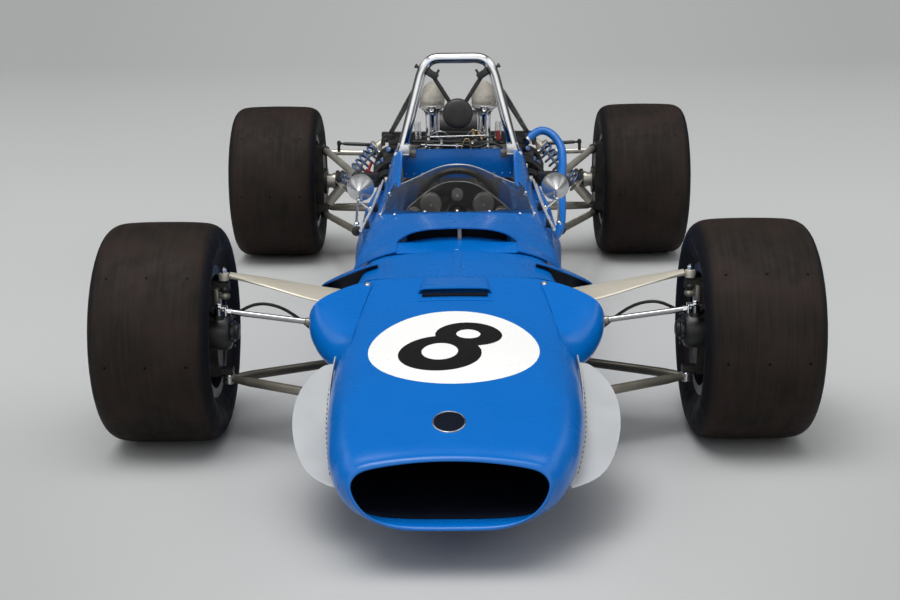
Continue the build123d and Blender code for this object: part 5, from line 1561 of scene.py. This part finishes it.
def makeRearLinks():
    replaced = ("rear_links",)
    for name, finish, start, end, radius in rearLinks:
        low, high = [Vector(spot) for spot in fromAxle((start, end))]
        way = (high - low).normalized()
        length = (high - low).length
        neck = radius * 0.62
        profile = [(0, neck), (0.018, neck), (0.022, radius * 0.9), (0.045, radius),
                   (length - 0.045, radius), (length - 0.022, radius * 0.9), (length - 0.018, neck),
                   (length, neck)]
        link = turned(name, profile, low, way, 20)
        place(bothSides(name + "s", [link]), "chassis", finish, "satin_nickel", *replaced)
        replaced = ()
    ends = []
    for name, finish, start, end, radius in rearLinks:
        for spot in (start, end):
            centre = fromAxle([spot])[0]
            way = (0, 1, 0) if radius > 0.01 else (0, 0, 1)
            ends.append(turned("eye",
                               [(-radius * 0.8, radius * 0.9), (-radius * 0.6, radius * 1.3),
                                (radius * 0.6, radius * 1.3), (radius * 0.8, radius * 0.9)], centre, way,
                               18))
            ends.append(turned("eyeBolt", [(-radius * 1.5, 0.0055), (radius * 1.5, 0.0055)], centre, way,
                               8))
    # brackets on the tub and the drop link at the outer end of the anti-roll link
    for x, y, z in ((0.384, 1.462, 0.503), (0.388, 1.440, 0.296)):
        ends.append(block("bracket", (x - 0.085, frontAxleY + y - 0.014, z - 0.013),
                          (x - 0.008, frontAxleY + y + 0.014, z + 0.013), 0.003))
    ends.append(bar("dropLink", (0.528, frontAxleY + 2.335, 0.472), (0.528, frontAxleY + 2.335, 0.519),
                    0.0065))
    ends.append(bar("dropLink", (0.374, frontAxleY + 2.335, 0.455), (0.374, frontAxleY + 2.335, 0.512),
                    0.0085))
    place(bothSides("rearLinkEnds", ends), "chassis", "blackMetal", "satin_nickel")
    # fin-like rubber joints on the drive shafts
    for side, name in ((1, "left"), (-1, "right")):
        rings = [turned("shaftBoot",
                        [(0, 0.034), (0.002, 0.046), (0.014, 0.048), (0.018, 0.041), (0.022, 0.041),
                         (0.026, 0.048), (0.038, 0.046), (0.040, 0.034)],
                        (side * x, rearAxleY, tyres["rear"]["radius"]), (side, 0, 0), 36)
                 for x in (0.512, 0.150)]
        place(joined(f"shaftJoints_{name}", rings), f"wheel_rear_{name}", "blackRubber", "satin_nickel")


def makeCoil(name, low, high, radius, wire, turns):
    # a wire ring turned up along its axis
    away()
    way = Vector(high) - Vector(low)
    bpy.ops.mesh.primitive_circle_add(vertices=8, radius=wire, location=(radius, 0, 0),
                                      rotation=(pi / 2, 0, 0))
    coil = bpy.context.object
    coil.name = name
    bpy.ops.object.transform_apply(location=True, rotation=True, scale=True)
    modified(coil, "SCREW", axis="Z", screw_offset=way.length / turns, iterations=turns, steps=18,
             render_steps=18)
    pick(coil)
    bpy.ops.object.mode_set(mode="EDIT")
    bpy.ops.mesh.select_all(action="SELECT")
    bpy.ops.mesh.normals_make_consistent(inside=False)
    bpy.ops.object.mode_set(mode="OBJECT")
    coil.data.transform(Matrix.Translation(Vector(low)) @ turnTo(way))
    return settle(coil, 60)


def makeDampers():
    low = Vector((0.592, rearAxleY - 0.098, 0.236))
    high = Vector((0.318, rearAxleY - 0.098, 0.538))
    way = (high - low).normalized()
    length = (high - low).length
    body = [turned("damperBody",
                   [(0.016, 0.010), (0.020, 0.019), (0.028, 0.021), (0.235, 0.021), (0.240, 0.017)], low,
                   way, 28),
            turned("damperShaft", [(0.235, 0.0065), (length - 0.01, 0.0065)], low, way, 16),
            turned("lowerCup", [(0.112, 0.022), (0.114, 0.038), (0.119, 0.038), (0.120, 0.024)], low, way,
                   32),
            turned("upperCup", [(length - 0.060, 0.020), (length - 0.058, 0.037), (length - 0.052, 0.037),
                                (length - 0.048, 0.018), (length - 0.02, 0.010)], low, way, 32)]
    place(bothSides("damperBodies", body), "chassis", "satinNickel", "black_metal", "rear_dampers")
    coil = makeCoil("damperCoil", low + way * 0.122, low + way * (length - 0.062), 0.0315, 0.0052, 9)
    place(bothSides("damperCoils", [coil]), "chassis", "springBlue", "black_metal")


makeRearLinks()
makeDampers()
print("rear suspension made")


# coolant pipe, side pipes and what shows of the engine; y from the front axle
coolantRoute = [(0.258, 1.550, 0.618), (0.298, 1.586, 0.655), (0.350, 1.578, 0.652), (0.394, 1.540, 0.602),
                (0.394, 1.470, 0.546), (0.380, 1.380, 0.490), (0.378, 1.250, 0.402), (0.356, 1.060, 0.348),
                (0.300, 0.980, 0.335)]
sideRoute = [(0.304, 0.560, 0.474), (0.284, 0.919, 0.484), (0.284, 1.340, 0.492)]


def makePipes():
    route = fromAxle(coolantRoute)
    place(tube("coolantPipeBlue", route, 0.0155, 3, 7, 10), "chassis", "blueHose", "blue_hose",
          "coolant_pipe")
    clips = [turned("hoseClip", [(0, 0.0165), (0.001, 0.0175), (0.010, 0.0175), (0.011, 0.0165)], route[n],
                    Vector(route[n + 1]) - Vector(route[n]), 24) for n in (0, 5)]
    place(joined("hoseClips", clips), "chassis", "steelBright", "chrome")
    pipes = []
    for inward, up, radius in ((0, 0, 0.0052), (0.007, 0.013, 0.0036)):
        pipes.append(tube("sidePipe", [(x - inward, frontAxleY + y, z + up) for x, y, z in sideRoute],
                          radius, 3, 4, 12))
    place(bothSides("sidePipePairs", pipes), "chassis", "paleMetal", "chrome", "side_pipes")
    clips = []
    for x, y, z in ((0.292, 0.640, 0.486), (0.279, 0.900, 0.492), (0.279, 1.300, 0.499)):
        clips.append(block("pipeClip", (x - 0.010, frontAxleY + y - 0.004, z - 0.022),
                           (x + 0.007, frontAxleY + y + 0.004, z + 0.005), 0.001))
    place(bothSides("sidePipeClips", clips), "chassis", "blackMetal", "chrome")


# rods, levers and lines in the vee, by finish: name, radius, points with y from the front axle
veeParts = {
    "dark": [("crossShaft", 0.0055, (-0.170, 1.490, 0.628), (0.170, 1.490, 0.622)),
             ("crossShaft", 0.0045, (-0.150, 1.520, 0.606), (0.155, 1.520, 0.612)),
             ("throttleArm", 0.0050, (-0.020, 1.486, 0.585), (0.018, 1.492, 0.642)),
             ("throttleArm", 0.0045, (0.060, 1.486, 0.600), (0.082, 1.492, 0.646)),
             ("throttleArm", 0.0045, (-0.112, 1.486, 0.596), (-0.128, 1.492, 0.645)),
             ("blackLine", 0.0046, (-0.165, 1.470, 0.600), (-0.120, 1.478, 0.634), (-0.060, 1.480, 0.606),
              (0.010, 1.478, 0.622), (0.070, 1.474, 0.602), (0.130, 1.478, 0.632), (0.168, 1.470, 0.603)),
             ("blackLine", 0.0036, (-0.150, 1.500, 0.640), (-0.090, 1.495, 0.652), (-0.040, 1.500, 0.634),
              (0.030, 1.505, 0.646), (0.090, 1.500, 0.632), (0.155, 1.500, 0.652))],
    "steel": [("linkRod", 0.0028, (-0.105, 1.480, 0.646), (0.108, 1.484, 0.650)),
              ("linkRod", 0.0026, (-0.140, 1.470, 0.618), (0.020, 1.474, 0.612)),
              ("fuelLine", 0.0024, (-0.035, 1.53, 0.628), (-0.040, 1.50, 0.660), (-0.085, 1.50, 0.668),
               (-0.112, 1.52, 0.640)),
              ("fuelLine", 0.0024, (0.030, 1.53, 0.628), (0.036, 1.50, 0.664), (0.080, 1.50, 0.670),
               (0.112, 1.52, 0.640))],
    "brass": [("creamLoop", 0.0022, (0.012, 1.472, 0.600), (0.022, 1.470, 0.640), (0.044, 1.470, 0.640),
               (0.050, 1.472, 0.598)),
              ("banjo", 0.0060, (0.058, 1.500, 0.640), (0.058, 1.500, 0.672)),
              ("banjo", 0.0050, (0.090, 1.496, 0.632), (0.075, 1.500, 0.660))],
    "red": [("redCap", 0.0085, (0.152, 1.480, 0.632), (0.148, 1.484, 0.668)),
            ("redCap", 0.0075, (-0.352, 1.500, 0.520), (-0.322, 1.505, 0.500)),
            ("redCap", 0.0055, (-0.348, 1.510, 0.500), (-0.330, 1.520, 0.548)),
            ("redCap", 0.0075, (0.352, 1.500, 0.505), (0.322, 1.505, 0.490)),
            ("redCap", 0.0120, (-0.470, 2.280, 0.340), (-0.462, 2.285, 0.300)),
            ("redCap", 0.0120, (0.470, 2.280, 0.340), (0.462, 2.285, 0.300))],
}
# hoses beside the engine: start, end, radius; boxes: middle and size; caps: place
besideHoses = [((0.225, 1.500, 0.600), (0.318, 1.720, 0.520), 0.012),
               ((0.232, 1.480, 0.565), (0.332, 1.640, 0.470), 0.010),
               ((0.245, 1.520, 0.640), (0.300, 1.780, 0.580), 0.009),
               ((0.260, 1.470, 0.520), (0.352, 1.600, 0.410), 0.008)]
besideBoxes = [(0.262, 1.560, 0.560, 0.026), (0.300, 1.640, 0.505, 0.030), (0.246, 1.600, 0.610, 0.022),
               (0.322, 1.700, 0.450, 0.028)]
besideCaps = [(0.262, 1.530, 0.590), (0.305, 1.600, 0.525), (0.336, 1.660, 0.470), (0.286, 1.550, 0.548)]


def veePart(name, radius, *points):
    # two points make a straight bar, more a bent line
    spots = fromAxle(points)
    return bar(name, *spots, radius) if len(spots) == 2 else tube(name, spots, radius)


def veeGroup(finish):
    return [veePart(*row) for row in veeParts[finish]]


def makeEngineTop():
    # what fills the vee ahead of the trumpets: linkage rods, fuel lines, distributor and springs
    y0 = frontAxleY
    boxes = [block("meteringUnit", (-0.050, y0 + 1.530, 0.560), (0.045, y0 + 1.640, 0.628), 0.006),
             turned("distributor", [(0, 0.034), (0.020, 0.036), (0.034, 0.030), (0.044, 0.016)],
                    (-0.075, y0 + 1.500, 0.575), (0, 0, 1), 28)]
    place(joined("engineTopDark", boxes + veeGroup("dark")), "chassis", "blackMetal", "black_metal")
    steel = veeGroup("steel")
    for n in range(5):
        steel.append(turned("union", [(0, 0.006), (0.009, 0.006), (0.010, 0.004), (0.016, 0.004)],
                            (-0.12 + n * 0.058, y0 + 1.476, 0.606 + 0.012 * (n % 2)), (0, -0.6, 1), 6))
    for side in (1, -1):
        for x in (0.142, 0.156):
            steel.append(makeCoil("returnSpring", (side * x, y0 + 1.490, 0.636),
                                  (side * (x + 0.004), y0 + 1.500, 0.700), 0.0055, 0.0011, 12))
    place(joined("engineTopSteel", steel), "chassis", "steelBright", "chrome")
    brass = veeGroup("brass")
    hinges = [block("hinge", (side * 0.172 - 0.014, y0 + 1.424, 0.578),
                    (side * 0.172 + 0.014, y0 + 1.446, 0.604), 0.002)
              for side in (1, -1)]
    place(joined("panelHinges", hinges), "chassis", "oldNickel", "mesh_beige")
    place(joined("engineTopBrass", brass), "chassis", "brassFitting", "mesh_beige")
    place(joined("redCaps", veeGroup("red")), "chassis", "redLead", "black_metal")
    beside = []
    for low, high, radius in besideHoses:
        middle = ((low[0] + high[0]) / 2 + 0.02, (low[1] + high[1]) / 2, (low[2] + high[2]) / 2 + 0.035)
        beside.append(tube("besideLine", fromAxle((low, middle, high)), radius))
    for x, y, z, size in besideBoxes:
        beside.append(block("besideBox", (x - size, y0 + y - size, z - size),
                            (x + size, y0 + y + size * 1.4, z + size * 0.8), 0.006))
    place(bothSides("besideLines", beside), "chassis", "blackMetal", "black_metal")
    caps = [turned("besideCap", [(0, 0.010), (0.012, 0.010), (0.014, 0.007)], spot, (0.3, -1, 0.5), 12)
            for spot in fromAxle(besideCaps)]
    place(bothSides("besideCaps", caps), "chassis", "springBlue", "chrome")


makePipes()
makeEngineTop()
print("pipes and engine details made")


# seat, a one-piece padded bucket: y from the front axle, height and half width along the middle line
seatLine = [(0.850, 0.176, 0.150), (0.900, 0.180, 0.158), (1.000, 0.170, 0.162), (1.120, 0.160, 0.164),
            (1.220, 0.176, 0.164), (1.290, 0.236, 0.164), (1.335, 0.330, 0.163), (1.362, 0.420, 0.160),
            (1.374, 0.470, 0.150), (1.384, 0.488, 0.140)]
# and its section: share of the half width, rise
seatSection = [(-1, 0.052), (-0.93, 0.058), (-0.82, 0.034), (-0.6, 0.010), (-0.3, 0.002), (0, 0),
               (0.3, 0.002), (0.6, 0.010), (0.82, 0.034), (0.93, 0.058), (1, 0.052)]
seatBackY = 1.2             # from here on the seat is its back, and the section's rise points forwards


def makeSeat():
    rows = []
    for y, z, half in seatLine:
        row = []
        for share, rise in seatSection:
            ahead, up = (rise * 0.7, rise * 0.5) if y >= seatBackY else (0, rise)
            row.append((half * share, frontAxleY + y - ahead, z + up))
        rows.append(row)
    shell = skin("seatBucket", rows, 1, 0.018)
    place(rounded(shell, 1), "chassis", "blackTrim", "black_trim", "seat")


makeSeat()
print("seat made")
